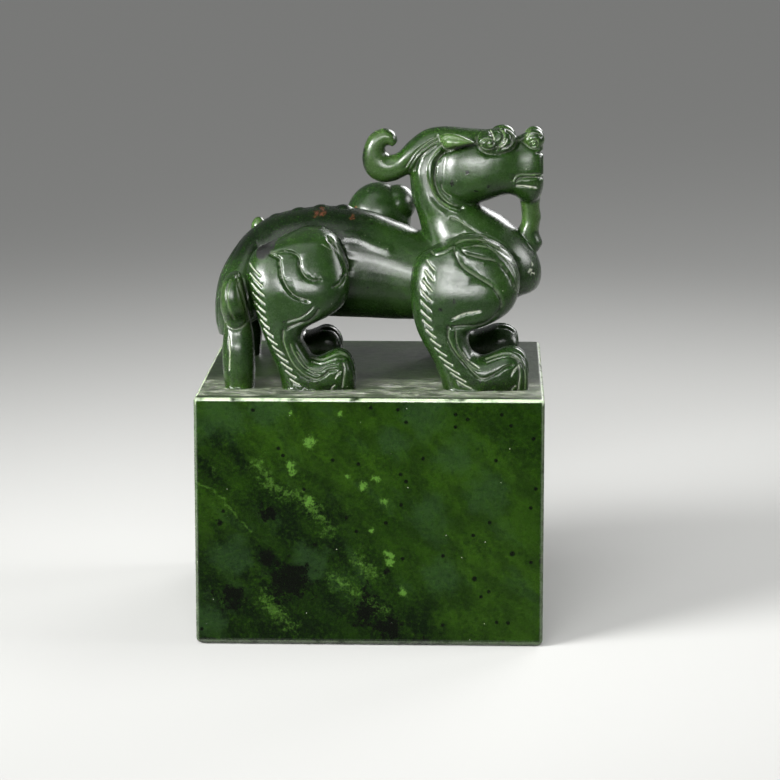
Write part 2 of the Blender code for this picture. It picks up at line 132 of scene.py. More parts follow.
CREST = (
    (22.0, 46.1, 19.0, 42.0, 3.0),
    (17.7, 46.4, 14.5, 41.5, 3.8),
    (12.9, 46.7, 11.0, 40.4, 3.8),
    (9.4, 46.0, 8.2, 38.6, 3.6),
    (6.5, 43.9, 5.4, 37.1, 3.4),
    (4.6, 41.9, 3.4, 36.3, 3.1),
    (3.1, 41.3, 0.9, 36.2, 2.9),
    (2.3, 41.7, -1.6, 37.9, 2.7),
    (2.0, 42.3, -2.35, 41.1, 2.6),
    (2.1, 42.8, -1.1, 44.8, 2.5),
    (2.5, 43.1, 1.6, 46.3, 2.4),
    (3.0, 43.0, 3.7, 45.6, 2.3),
    (3.3, 42.8, 4.4, 43.9, 1.9),
)
BEARD = (
    (27.2, 34.0, 31.4, 34.0, 3.0),
    (27.7, 31.2, 31.2, 31.6, 2.8),
    (27.8, 28.9, 31.5, 29.6, 2.8),
    (27.0, 26.6, 31.1, 26.9, 3.0),
    (27.6, 24.6, 31.8, 24.7, 3.0),
    (28.2, 22.8, 31.0, 23.1, 2.4),
)
# These ribs and the legs' add the middle of the form, measured outward from the midplane
EAR = (
    (12.2, 45.3, 12.3, 44.8, 3.7, 0.6),
    (12.9, 45.8, 12.7, 43.8, 4.7, 1.3),
    (14.4, 46.0, 14.2, 42.9, 5.5, 1.5),
    (16.2, 45.6, 16.0, 43.5, 6.0, 1.3),
    (17.8, 44.9, 17.7, 43.9, 6.2, 0.9),
    (19.0, 44.3, 19.0, 44.1, 6.0, 0.4),
)
FORE_LEG = (
    (15.6, 27.4, 20.6, 27.4, 12.5, 3.0),
    (12.4, 26.2, 24.0, 26.0, 13.5, 5.4),
    (8.4, 24.0, 26.2, 23.6, 14.0, 5.9),
    (7.3, 20.6, 27.4, 20.4, 14.5, 6.4),
    (7.15, 17.4, 27.2, 17.2, 14.9, 6.8),
    (7.4, 14.6, 25.8, 14.4, 15.3, 6.5),
    (7.9, 12.4, 22.6, 12.2, 15.8, 5.9),
    (8.5, 10.6, 18.6, 10.6, 16.4, 5.3),
    (9.4, 8.8, 18.0, 8.6, 16.9, 5.0),
    (10.9, 6.2, 18.9, 6.2, 17.1, 4.9),
    (12.2, 3.6, 20.5, 3.2, 17.2, 4.9),
    (13.2, 0.4, 22.5, 0.4, 17.3, 5.0),
    (13.3, -1.5, 22.5, -1.5, 17.3, 5.0),
)
FORE_PAW = (
    (17.0, 8.0, 16.0, -1.5, 17.2, 4.7),
    (20.2, 6.0, 20.2, -1.5, 17.3, 4.9),
    (22.6, 6.6, 22.6, -1.5, 17.3, 5.1),
    (25.0, 7.6, 25.0, -1.5, 17.2, 5.2),
    (27.2, 7.4, 27.2, -1.5, 17.0, 4.8),
    (28.7, 6.0, 28.6, -1.5, 16.9, 4.1),
    (29.2, 4.0, 29.1, -1.5, 16.9, 3.2),
)
HIND_LEG = (
    (-13.2, 28.7, -9.4, 28.8, 10.0, 3.0),
    (-17.0, 27.0, -6.8, 27.4, 12.0, 5.4),
    (-21.6, 25.0, -5.6, 24.8, 13.2, 5.9),
    (-23.15, 21.8, -4.5, 21.4, 14.2, 6.4),
    (-22.9, 18.4, -4.1, 18.2, 14.9, 6.7),
    (-22.2, 15.8, -5.2, 15.2, 15.4, 6.3),
    (-21.4, 13.4, -7.9, 13.2, 15.9, 5.7),
    (-20.6, 11.2, -11.8, 11.2, 16.4, 5.2),
    (-19.8, 9.2, -12.8, 9.0, 16.8, 5.0),
    (-18.7, 6.4, -11.6, 6.6, 17.0, 4.9),
    (-17.5, 3.8, -9.5, 3.6, 17.2, 4.9),
    (-16.7, 0.6, -7.5, 0.6, 17.3, 5.0),
    (-16.7, -1.5, -7.5, -1.5, 17.3, 5.0),
)
HIND_PAW = (
    (-13.4, 7.6, -14.0, -1.5, 17.2, 4.7),
    (-10.6, 5.7, -10.6, -1.5, 17.3, 4.9),
    (-8.6, 6.1, -8.6, -1.5, 17.3, 5.1),
    (-6.4, 7.1, -6.4, -1.5, 17.2, 5.2),
    (-4.5, 6.6, -4.5, -1.5, 17.0, 4.8),
    (-3.4, 5.0, -3.4, -1.5, 16.9, 4.1),
    (-2.95, 3.4, -2.95, -1.5, 16.9, 3.2),
)
TAIL = (
    (-20.5, 27.6, -17.0, 24.0, 0.0, 4.0),
    (-24.0, 26.6, -18.5, 20.5, 0.0, 7.0),
    (-27.0, 23.0, -19.2, 16.8, 0.0, 11.0),
    (-29.2, 19.0, -20.0, 13.6, 0.0, 14.2),
    (-30.1, 15.0, -20.8, 11.4, 0.0, 15.0),
    (-30.2, 11.0, -22.6, 10.2, 0.0, 13.5),
    (-29.6, 8.0, -25.5, 8.8, 0.0, 11.0),
)
TAIL_LOCK = (
    (-26.4, 20.9, -24.6, 21.2, 15.6, 2.0),
    (-27.4, 19.6, -23.9, 20.2, 17.2, 3.4),
    (-27.9, 17.0, -23.3, 17.4, 18.0, 3.9),
    (-27.8, 14.4, -22.8, 14.6, 18.0, 3.8),
    (-27.3, 12.2, -22.5, 12.6, 17.3, 2.9),
    (-27.4, 10.4, -22.0, 10.2, 17.2, 3.1),
    (-27.6, 7.6, -21.7, 7.8, 17.6, 3.7),
    (-27.6, 4.0, -21.5, 4.0, 17.8, 3.8),
    (-27.3, 0.6, -21.7, 0.6, 17.8, 3.6),
    (-27.2, -1.5, -21.8, -1.5, 17.8, 3.6),
)

# Balls worked into the form: centre x, y, z, then radii. The first three sit on both sides
FACE_BALLS = (
    ((21.3, 5.3, 44.1), (1.9, 1.7, 1.6)),  # eye
    ((24.1, 4.0, 44.4), (2.6, 2.4, 2.35)),  # brow
    ((30.1, 2.6, 44.6), (1.9, 2.2, 2.0)),  # nostril
)
FAR_BALLS = (
    ((0.3, 11.0, 27.9), (6.3, 6.3, 6.9)),  # rounded hump on the far slope of the back
    ((4.0, 11.0, 30.6), (3.5, 4.5, 3.8)),  # and its shoulder toward the neck
    ((-22.6, 7.0, 26.3), (1.5, 1.8, 2.3)),  # curled tip on the far side of the rump
    ((-29.0, 12.0, 13.0), (1.6, 2.4, 3.0)),  # knob on the far side of the tail
)
# The scalloped ridge over the rump: low swellings whose tops lie on an arc
SCALLOPS = 4
SCALLOP_FIRST_X = -18.2
SCALLOP_PITCH = 4.07
SCALLOP_RADII = (2.35, 2.2, 1.9)
RIDGE_TOP = (-8.0, 31.95)
RIDGE_CURVE = 0.0173
# A far leg leans from this height down, over this drop
LEAN_TOP = 20.0
LEAN_DROP = 12.0

# Carved lines, each run on x and z over the side of the form. Depth, then the cut's half width
# to the left and to the right of its run (a wide side is a slant), then points
HEAD_LINES = (
    # mouth: rim of the upper lip, the parting, and the lower lip
    (0.3, 0.2, 0.24, ((26.1, 37.1), (26.5, 37.9), (27.4, 38.25), (29.6, 38.3), (31.2, 38.3))),
    (0.6, 0.26, 0.3, ((26.7, 37.0), (27.5, 37.6), (29.2, 37.75), (32.2, 37.7))),
    (0.35, 0.24, 0.45, ((26.7, 36.2), (28.6, 36.1), (30.4, 35.8))),
    # edge of the cheek, and of the band of mane behind it
    (0.65, 0.32, 0.7, ((15.4, 43.0), (14.1, 42.6), (12.4, 41.3), (11.7, 39.7), (11.5, 37.1),
        (12.2, 34.7), (14.1, 32.9), (16.6, 32.1))),
    (0.55, 0.3, 1.3, ((12.6, 43.4), (11.4, 42.2), (10.0, 39.9), (9.8, 38.0), (10.4, 36.1), (11.8, 33.6),
        (14.0, 32.0))),
    (0.2, 0.2, 0.25, ((12.7, 36.3), (12.9, 35.5), (13.6, 34.7), (14.5, 34.2))),
    # socket of the eye
    (0.55, 0.25, 0.75, ((19.6, 45.2), (19.3, 44.4), (19.6, 43.7), (20.6, 42.5), (22.0, 42.15),
        (24.0, 42.25), (25.6, 42.7), (26.5, 43.6), (26.65, 44.6))),
    # curled eye
    (0.42, 0.26, 0.26, ((22.3, 44.8), (21.6, 45.05), (20.7, 44.95), (20.1, 44.4), (20.2, 43.6),
        (20.9, 43.1), (22.0, 43.1), (22.9, 43.45))),
    (0.45, 0.28, 0.28, ((22.45, 44.6), (22.45, 44.1), (22.0, 43.75), (21.45, 43.85), (21.2, 44.2),
        (21.5, 44.45))),
    # strands of the brow
    (0.4, 0.24, 0.4, ((21.8, 46.1), (22.3, 45.5), (22.5, 44.8))),
    (0.55, 0.28, 0.5, ((23.4, 46.7), (24.1, 46.3), (24.3, 45.4), (24.0, 44.6), (23.5, 43.9),
        (22.9, 43.3))),
    (0.32, 0.2, 0.2, ((24.5, 44.8), (24.0, 44.0), (23.4, 43.3), (22.9, 42.8))),
    (0.28, 0.18, 0.18, ((24.9, 44.9), (24.5, 44.1), (23.9, 43.5))),
    (0.55, 0.3, 0.4, ((24.9, 46.5), (25.7, 46.0), (26.05, 45.2), (25.9, 44.2), (25.2, 43.5),
        (23.9, 43.0))),
    # creases over the nose, and the nostril
    (0.28, 0.2, 0.2, ((26.7, 44.2), (27.5, 44.5), (28.3, 45.0), (28.8, 45.6), (28.9, 46.2))),
    (0.28, 0.2, 0.2, ((26.7, 44.6), (27.2, 45.1), (28.2, 45.6))),
    (0.25, 0.18, 0.18, ((27.4, 45.2), (27.9, 45.3), (28.4, 45.9))),
    (0.35, 0.22, 0.3, ((28.7, 44.7), (29.0, 45.4), (29.8, 45.85), (30.6, 45.85), (31.3, 45.5))),
    (0.5, 0.26, 0.26, ((29.3, 44.4), (30.0, 44.65), (30.6, 44.5), (30.7, 43.9), (30.2, 43.35),
        (29.6, 43.4), (29.5, 43.9), (29.95, 44.05))),
    (0.35, 0.2, 0.4, ((27.8, 44.2), (28.5, 43.7), (29.2, 43.2), (30.0, 42.9), (31.0, 42.9))),
    # crest strands that run back from the ear
    (0.4, 0.45, 0.24, ((12.8, 44.0), (11.7, 43.6), (9.5, 42.1), (8.3, 40.6), (7.5, 38.7))),
    (0.35, 0.24, 0.24, ((12.5, 44.7), (10.5, 43.6), (8.3, 41.9), (7.0, 39.9), (6.5, 38.4))),
    (0.32, 0.24, 0.3, ((12.2, 45.2), (9.9, 43.9), (7.6, 41.9), (6.0, 39.4))),
    # ear: its lower edge and the hollow under its rim
    (0.45, 0.22, 0.5, ((12.0, 45.2), (12.2, 44.4), (13.0, 43.2), (14.4, 42.6), (16.9, 43.5),
        (19.3, 44.1))),
    (0.3, 0.2, 0.95, ((13.0, 44.9), (13.6, 45.3), (15.1, 45.25), (16.6, 44.9), (18.2, 44.4))),
    # folds where the neck meets the jaw
    (0.22, 0.25, 0.6, ((14.6, 30.2), (16.2, 29.6), (18.6, 28.2), (21.0, 26.8))),
)
FORE_LINES = (
    # leaf on the shoulder
    (0.55, 0.6, 0.26, ((15.3, 26.2), (15.5, 25.1), (16.9, 22.8), (19.8, 20.9), (22.4, 19.2),
        (23.8, 17.0), (23.8, 15.3), (22.1, 13.2), (19.9, 12.2), (17.0, 12.2), (15.0, 12.0))),
    (0.45, 0.55, 0.24, ((16.7, 25.8), (17.7, 25.1), (20.5, 24.3), (23.0, 23.7), (25.2, 21.4),
        (26.7, 18.3), (27.2, 17.5))),
    (0.4, 0.26, 0.5, ((14.6, 25.9), (16.2, 27.0), (19.1, 27.4), (22.3, 26.5), (25.2, 24.6),
        (26.9, 22.4), (27.5, 19.8), (27.3, 17.6))),
    (0.18, 0.18, 0.18, ((17.1, 26.2), (19.5, 26.5), (22.3, 25.8), (25.3, 23.1), (26.7, 20.1),
        (27.0, 18.6))),
    (0.3, 0.4, 0.22, ((11.0, 25.3), (11.8, 24.8), (13.4, 25.2), (14.7, 26.0))),
    # hollow of the knee
    (0.35, 0.22, 0.5, ((15.0, 13.5), (17.2, 14.5), (20.1, 15.0))),
    # front of the shank and the top of the paw
    (0.5, 0.24, 0.45, ((14.4, 12.0), (14.3, 10.2), (15.2, 8.0), (16.9, 5.8), (19.4, 3.1), (20.9, 2.5),
        (22.9, 3.4), (24.6, 4.6), (26.0, 5.0))),
    (0.32, 0.2, 0.2, ((15.6, 11.5), (15.9, 8.9), (17.4, 5.8), (18.6, 4.5), (20.0, 3.9))),
    (0.25, 0.18, 0.18, ((17.0, 7.2), (18.0, 5.7), (20.0, 4.3))),
    (0.35, 0.2, 0.3, ((21.1, 5.6), (23.8, 6.6), (25.2, 6.9), (26.5, 6.5), (27.6, 5.6), (28.4, 3.8),
        (28.4, 0.3))),
    (0.28, 0.18, 0.18, ((21.3, 5.2), (23.8, 6.1), (25.4, 6.4), (26.8, 6.0), (27.5, 5.3))),
    # claw of the outer toe
    (0.32, 0.2, 0.2, ((25.9, 3.0), (26.3, 3.9), (27.0, 4.6))),
    (0.32, 0.2, 0.2, ((25.9, -0.4), (26.1, 0.4), (26.7, 1.1))),
    (0.3, 0.25, 0.25, ((27.2, 4.9), (27.5, 3.4), (27.2, 0.0))),
)
HIND_LINES = (
    # scrolls of the haunch
    (0.5, 0.26, 0.6, ((-18.5, 25.0), (-16.1, 25.5), (-14.2, 25.2), (-13.1, 24.2), (-12.8, 22.3),
        (-11.9, 21.0), (-10.6, 20.4), (-9.4, 20.4))),
    (0.55, 0.26, 0.7, ((-18.1, 24.9), (-16.8, 24.2), (-16.5, 22.6), (-16.1, 20.7), (-15.0, 18.7),
        (-13.6, 17.5), (-11.4, 16.8))),
    (0.5, 0.3, 0.6, ((-7.9, 27.6), (-6.7, 26.2), (-5.3, 23.6), (-4.6, 21.3), (-5.4, 19.8),
        (-6.6, 19.1))),
    (0.22, 0.18, 0.3, ((-9.1, 26.6), (-7.6, 25.7))),
    # hollow of the knee
    (0.25, 0.18, 0.24, ((-15.2, 12.9), (-12.8, 13.6), (-11.1, 14.9), (-10.5, 15.6))),
    (0.4, 0.22, 0.45, ((-15.3, 11.7), (-13.2, 12.5), (-11.6, 12.8), (-10.3, 13.8), (-9.6, 15.0))),
    # front of the shank and the top of the paw
    (0.45, 0.24, 0.45, ((-16.0, 11.1), (-16.0, 9.0), (-14.7, 5.6), (-12.9, 3.5), (-11.3, 2.5),
        (-9.9, 2.2), (-8.4, 3.0), (-7.6, 3.8), (-6.3, 4.0))),
    (0.3, 0.2, 0.2, ((-14.8, 8.6), (-14.1, 6.8), (-12.6, 4.6), (-10.5, 3.2), (-9.4, 3.0))),
    (0.28, 0.2, 0.2, ((-13.6, 7.1), (-11.9, 4.6), (-10.8, 3.9), (-9.4, 3.7), (-8.1, 4.5), (-6.0, 4.9))),
    (0.32, 0.2, 0.26, ((-11.2, 5.7), (-10.0, 5.4), (-8.7, 5.5), (-6.9, 6.3), (-5.6, 6.5), (-4.6, 6.1))),
    (0.28, 0.18, 0.18, ((-10.9, 5.1), (-9.5, 4.8), (-8.1, 5.1), (-6.5, 5.7), (-5.0, 5.7))),
    # claw of the outer toe
    (0.32, 0.2, 0.2, ((-6.5, 2.4), (-6.1, 3.1), (-5.5, 3.6))),
    (0.32, 0.2, 0.2, ((-7.4, -0.2), (-7.1, 0.6), (-6.6, 1.1))),
    (0.3, 0.25, 0.25, ((-5.0, 5.0), (-4.8, 3.5), (-5.2, 0.6))),
)
TAIL_LINES = (
    (0.32, 0.22, 0.4, ((-24.8, 20.9), (-23.9, 18.4), (-23.2, 15.8), (-22.7, 13.0))),
    (0.26, 0.4, 0.2, ((-26.0, 20.2), (-26.5, 18.0), (-26.2, 15.6), (-25.2, 13.0))),
    (0.3, 0.3, 0.4, ((-27.2, 12.2), (-26.0, 11.2), (-24.4, 11.2), (-22.6, 12.4))),
    (0.25, 0.18, 0.18, ((-26.1, 9.4), (-26.0, 6.9), (-26.1, 3.6))),
)
# Lines down the rear of the tail, their points on the distance from the midplane and z
REAR_LINES = (
    (0.45, 0.35, 0.35, ((0.0, 24.5), (0.0, 18.0), (0.0, 10.2))),
    (0.4, 0.3, 0.3, ((1.8, 25.0), (4.2, 20.0), (5.2, 14.0), (5.0, 9.8))),
    (0.4, 0.3, 0.3, ((3.6, 24.2), (8.2, 19.0), (10.2, 14.2), (10.0, 10.2))),
)
REAR_LINES_BEHIND = -21.0
REAR_LINES_WITHIN = 14.0
# Raised runs: height, half width and points
NECK_RIDGES = (
    (0.40, 0.85, ((12.4, 42.6), (10.9, 40.6), (10.6, 38.2), (11.2, 35.6), (12.8, 33.2), (15.6, 31.8))),
)
FLANK_RIDGES = (
    (0.24, 1.30, ((-5.2, 26.8), (-3.4, 26.7), (-1.2, 25.9), (0.8, 25.0), (2.8, 24.4))),
)
LIP_NOTCHES = (42.2, 37.7)
LIP_NOTCH_DEPTH = 0.6
LIP_NOTCH_HALF = 0.5
LIP_FRONT = (30.2, 31.2)
LIP_FACING = 0.1  # least turn of the skin toward the front for a notch
RUMP_SCOOPS = (
    ((-20.1, 15.0, 26.9), 2.3),
    ((-19.4, 11.6, 27.0), 2.6),
)
TOE_PITCH = 2.3
TOE_DEPTH = 0.6
TOE_HALF = 0.6
TOE_TOP = 8.2
TOE_RUN = (4.6, 3.1)
TOE_PAST = 1.0
HEAD_LINES_FROM = 1.6
LEG_LINES_FROM = 8.0
TAIL_LINES_FROM = 12.0
FLANK_RIDGES_WITHIN = (3.0, 11.0)
ANYWHERE = 99.0
BEAST_FROM = 0.05  # above the block, where the figure begins
FACING_GAIN = 2.5
# Short parallel cuts down the rear edge of each leg: the run of their upper ends, how the first
# and the last one lie, and how many
FORE_HAIR = (((10.3, 23.9), (9.6, 20.6), (9.2, 16.6), (9.6, 13.0), (11.2, 9.4), (13.2, 5.6), (15.9, 2.1)),
    (1.4, -1.7), (2.5, -1.4), 14)
HIND_HAIR = (((-22.5, 22.9), (-21.9, 18.6), (-21.2, 14.9), (-19.3, 10.5), (-17.0, 6.2), (-14.9, 2.2)),
    (2.2, -1.9), (1.7, -1.0), 14)
LINE_STEPS = 5  # stations from each point of a carved run to the next
HAIR_STEPS = 12
HAIR_DEPTH = 0.30
HAIR_HALF_WIDTH = 0.17
HAIR_POINTS = 3
HAIR_BOW = (-0.05, -0.05)
HAIR_SWAY = 0.14
HAIR_SWAYS = 9
CUT_FLOOR = 0.14  # half width of a cut's floor, where dust and a painted highlight lie
CUT_FLOOR_FADE = 0.6  # share of that over which the dust and painted highlight thin out
LINE_DUST_AND_GLINT = 0.22  # dust and painted highlight in a long line, as a share of those in a short stroke


def place(x, y, z):
    """A point of the figure, y measured from its midplane toward the far side."""
    return Vector((ORIGIN_X + x * SHARE, MIDPLANE_Y + y * SHARE, BLOCK_HEIGHT + z * SHARE))


def smooth_stations(stations, between):
    """Stations with more worked out between them, on a curve through them all."""
    rows = np.array(stations, float)
    ends = np.vstack([2 * rows[0] - rows[1], rows, 2 * rows[-1] - rows[-2]])
    full = []
    for before, a, b, after in zip(ends, ends[1:], ends[2:], ends[3:]):
        for step in range(between):
            t = step / between
            bend = 2 * before - 5 * a + 4 * b - after
            turn = 3 * a - before - 3 * b + after
            full.append((2 * a + (b - before) * t + bend * t * t + turn * t**3) / 2)
    full.append(rows[-1])
    return full


def add_rings(bm, rings):
    """A closed skin over rings of points, with a flat cap at each end."""
    loops = [[bm.verts.new(point) for point in ring] for ring in rings]
    count = len(loops[0])
    for low, high in zip(loops, loops[1:]):
        for k in range(count):
            n = (k + 1) % count
            bm.faces.new((low[k], low[n], high[n], high[k]))
    bm.faces.new(loops[0][::-1])
    bm.faces.new(loops[-1])


def leaned(x, z, step, foot_step):
    """x moved by the step at the top of a leg and by the foot's step at its foot."""
    lean = np.clip((LEAN_TOP - z) / LEAN_DROP, 0.0, 1.0)
    return x + step + (foot_step - step) * lean


def add_ribbed(bm, ribs, side=1, step=0.0, foot_step=0.0, sag=0.0, squareness=ROUND_SQUARENESS):
    """A limb or body through ribs, on the near side (-1) or the far side (1) of the midplane."""
    rings = []
    for station in smooth_stations(ribs, RIB_STEPS):
        x1, z1, x2, z2 = station[:4]
        middle, half = (station[4], station[5]) if len(station) == 6 else (0.0, station[4])
        ring = []
        for k in range(AROUND):
            angle = 2 * math.pi * k / AROUND
            c, s = math.cos(angle), math.sin(angle)
            along = math.copysign(abs(c) ** (2 / squareness), c)
            across = math.copysign(abs(s) ** (2 / squareness), s)
            z = (z1 + z2 + along * (z2 - z1)) / 2
            x = leaned((x1 + x2 + along * (x2 - x1)) / 2, z, step, foot_step)
            ring.append(place(x, side * middle + across * half * (1 + sag * along), z))
        rings.append(ring)
    add_rings(bm, rings)


def add_ball(bm, centre, radii):
    """An ellipsoid, its centre and its three radii in the figure's shares."""
    made = bmesh.ops.create_icosphere(bm, subdivisions=4, radius=1.0)["verts"]
    for vert in made:
        x, y, z = (c + r * v for c, r, v in zip(centre, radii, vert.co))
        vert.co = place(x, y, z)


def add_spine_scallops(bm):
    """The scalloped ridge over the rump, a row of low swellings."""
    for k in range(SCALLOPS):
        x = SCALLOP_FIRST_X + SCALLOP_PITCH * k
        top = RIDGE_TOP[1] - RIDGE_CURVE * (x - RIDGE_TOP[0]) ** 2
        add_ball(bm, (x, 0, top - SCALLOP_RADII[2]), SCALLOP_RADII)


def lowered(ribs, share):
    """Ribs with every height above the block cut to this share."""
    return [(r[0], r[1] * share, r[2], r[3] * share, *r[4:]) for r in ribs]


def beast_bmesh():
    bm = bmesh.new()
    add_ribbed(bm, BARREL, sag=SAG)
    add_ribbed(bm, HEAD, sag=SAG, squareness=HEAD_SQUARENESS)
    for ribs in (NECK, CREST, BEARD, TAIL):
        add_ribbed(bm, ribs)
    for leg, paw, foot_step in ((FORE_LEG, FORE_PAW, FAR_STEP), (HIND_LEG, HIND_PAW, FAR_HIND_STEP)):
        add_ribbed(bm, leg, -1, squareness=LEG_SQUARENESS)
        add_ribbed(bm, paw, -1)
        add_ribbed(bm, leg, 1, FAR_STEP, foot_step, squareness=LEG_SQUARENESS)
        add_ribbed(bm, lowered(paw, FAR_PAW), 1, FAR_STEP, foot_step)
    add_ribbed(bm, TAIL_LOCK, -1)
    add_ribbed(bm, TAIL_LOCK, 1, FAR_TAIL_STEP, FAR_TAIL_STEP)
    for side in (-1, 1):
        add_ribbed(bm, EAR, side)
        for (x, y, z), radii in FACE_BALLS:
            add_ball(bm, (x, side * y, z), radii)
    for centre, radii in FAR_BALLS:
        add_ball(bm, centre, radii)
    add_spine_scallops(bm)
    bmesh.ops.recalc_face_normals(bm, faces=bm.faces)
    return bm


def cut_between_toes(x, y, z, paw, side, step):
    """How deep the three grooves between a paw's toes are at each point."""
    tip = paw[-1][0] + step
    begun = np.clip((x - tip + TOE_RUN[0]) / (TOE_RUN[0] - TOE_RUN[1]), 0, 1)
    near_tip = begun * (z < TOE_TOP) * (x < tip + TOE_PAST)
    depth = np.zeros(len(x))
    for gap in (-TOE_PITCH, 0.0, TOE_PITCH):
        away = np.abs(side * y - paw[-1][4] - gap)
        depth = np.maximum(depth, TOE_DEPTH * np.clip(1 - away / TOE_HALF, 0, 1) * near_tip)
    return depth


def scooped(spots, facing, centre, radius):
    """How far points inside a ball sink, along their normals, to reach the ball's far side."""
    offset = spots - np.array(centre)
    toward = np.einsum("ij,ij->i", offset, facing)
    inside = radius**2 - np.einsum("ij,ij->i", offset, offset)
    return np.where(inside > 0, toward + np.sqrt(np.maximum(toward**2 + inside, 0)), 0.0)


def put_in_scene(name, data):
    obj = bpy.data.objects.new(name, data)
    bpy.context.scene.collection.objects.link(obj)
    return obj


def add_object(name, bm):
    mesh = bpy.data.meshes.new(name)
    bm.to_mesh(mesh)
    bm.free()
    return put_in_scene(name, mesh)


def evaluated(obj):
    """A new mesh with the object's modifiers applied; the object is removed."""
    bpy.context.view_layer.update()
    graph = bpy.context.evaluated_depsgraph_get()
    mesh = bpy.data.meshes.new_from_object(obj.evaluated_get(graph))
    bpy.data.objects.remove(obj)
    return mesh


def fused_skin():
    """The figure's forms fused into one mesh and eased where they meet."""
    obj = add_object("beast_forms", beast_bmesh())
    fuse = obj.modifiers.new("fuse", "REMESH")
    fuse.mode = "VOXEL"
    fuse.voxel_size = VOXEL
    ease = obj.modifiers.new("ease", "SMOOTH")
    ease.iterations = EASE_STEPS
    return evaluated(obj)


def vertex_arrays(mesh):
    """Places and normals of the vertices, places in the figure's shares."""
    count = len(mesh.vertices)
    spots = np.empty(count * 3)
    mesh.vertices.foreach_get("co", spots)
    facing = np.empty(count * 3)
    mesh.vertex_normals.foreach_get("vector", facing)
    spots = (spots.reshape(-1, 3) - np.array(place(0, 0, 0))) / SHARE
    return spots, facing.reshape(-1, 3)


def cut_by_run(points, run, left, right):
    """How deep a V cut along a smooth run is at each x, z point, and how near its floor is."""
    line = np.array(smooth_stations(run, LINE_STEPS))
    reach = max(left, right)
    near = np.all((points > line.min(0) - reach) & (points < line.max(0) + reach), axis=1)
    share = np.zeros(len(points))
    floor = np.zeros(len(points))
    spots = points[near]
    nearest = np.full(len(spots), np.inf)
    half_width = np.full(len(spots), left)
    for a, b in zip(line, line[1:]):
        along = b - a
        offset = spots - a
        t = np.clip(offset @ along / (along @ along), 0, 1)
        away = np.linalg.norm(offset - t[:, None] * along, axis=1)
        on_left = along[0] * offset[:, 1] - along[1] * offset[:, 0] > 0
        closer = away < nearest
        nearest = np.where(closer, away, nearest)
        half_width = np.where(closer, np.where(on_left, left, right), half_width)
    share[near] = np.clip(1 - nearest / half_width, 0, 1)
    floor[near] = np.clip((CUT_FLOOR - nearest) / (CUT_FLOOR_FADE * CUT_FLOOR), 0, 1)
    return share, floor


def hair_lines(run, first, last, count):
    """Short parallel cuts whose upper ends are spaced evenly along a run."""
    line = np.array(smooth_stations(run, HAIR_STEPS))
    passed = np.append(0, np.cumsum(np.linalg.norm(np.diff(line, axis=0), axis=1)))
    lines = []
    for k in range(count):
        t = k / (count - 1)
        upper = np.array([np.interp(t * passed[-1], passed, line[:, axis]) for axis in (0, 1)])
        lie = np.array(first) * (1 - t) + np.array(last) * t
        lie = lie * (1 + HAIR_SWAY * math.sin(HAIR_SWAYS * t))
        bowed = upper + lie / 2 + np.array(HAIR_BOW)
        lines.append((HAIR_DEPTH, HAIR_HALF_WIDTH, HAIR_HALF_WIDTH, (upper, bowed, upper + lie)))
    return tuple(lines)


def carving_depth(spots, facing):
    """How far the carving sinks each point of the skin, in shares, and how much dust and painted
    highlight its cuts take there.
    """
    x, y, z = spots.T
    depth = np.zeros(len(spots))
    height = np.zeros(len(spots))
    dust_and_glint = np.zeros(len(spots))
    groups = (
        (HEAD_LINES, NECK_RIDGES, 0.0, 0.0, HEAD_LINES_FROM, ANYWHERE),
        (FORE_LINES + hair_lines(*FORE_HAIR), (), FAR_STEP, FAR_STEP, LEG_LINES_FROM, ANYWHERE),
        (HIND_LINES + hair_lines(*HIND_HAIR), (), FAR_STEP, FAR_HIND_STEP, LEG_LINES_FROM, ANYWHERE),
        (TAIL_LINES, (), FAR_TAIL_STEP, FAR_TAIL_STEP, TAIL_LINES_FROM, ANYWHERE),
        ((), FLANK_RIDGES, 0.0, 0.0, *FLANK_RIDGES_WITHIN),
    )
    for lines, ridges, step, foot_step, inner, outer in groups:
        for side in (-1, 1):
            home = leaned(x, z, -step, -foot_step) if side == 1 else x
            flat = np.column_stack([home, z])
            turned = np.clip(side * facing[:, 1] * FACING_GAIN, 0, 1)
            turned = turned * (side * y > inner) * (side * y < outer)
            for sink, left, right, run in lines:
                share, floor = cut_by_run(flat, run, left, right)
                depth = np.maximum(depth, sink * share * turned)
                weight = 1.0 if len(run) == HAIR_POINTS else LINE_DUST_AND_GLINT
                dust_and_glint = np.maximum(dust_and_glint, weight * floor * turned)
            for rise, half_width, run in ridges:
                swell = cut_by_run(flat, run, half_width, half_width)[0]
                height = np.maximum(height, rise * swell * swell * (3 - 2 * swell) * turned)
    behind = np.clip(-facing[:, 0] * FACING_GAIN, 0, 1)
    behind = behind * (x < REAR_LINES_BEHIND) * (np.abs(y) < REAR_LINES_WITHIN)
    for sink, left, right, run in REAR_LINES:
        share, floor = cut_by_run(np.column_stack([np.abs(y), z]), run, left, right)
        depth = np.maximum(depth, sink * share * behind)
        dust_and_glint = np.maximum(dust_and_glint, LINE_DUST_AND_GLINT * floor * behind)
    for side, fore_step, hind_step in ((-1, 0.0, 0.0), (1, FAR_STEP, FAR_HIND_STEP)):
        for paw, step in ((FORE_PAW, fore_step), (HIND_PAW, hind_step)):
            depth = np.maximum(depth, cut_between_toes(x, y, z, paw, side, step))
    for (cx, cy, cz), radius in RUMP_SCOOPS:
        for centre in ((cx, -cy, cz), (cx + FAR_STEP, cy, cz)):
            depth = np.maximum(depth, scooped(spots, facing, centre, radius))
    at_front = np.clip((x - LIP_FRONT[0]) / (LIP_FRONT[1] - LIP_FRONT[0]), 0, 1)
    at_front = at_front * (facing[:, 0] > LIP_FACING)
    for level in LIP_NOTCHES:
        notch = np.clip(1 - np.abs(z - level) / LIP_NOTCH_HALF, 0, 1) * at_front
        depth = np.maximum(depth, LIP_NOTCH_DEPTH * notch)
    return depth - height, dust_and_glint


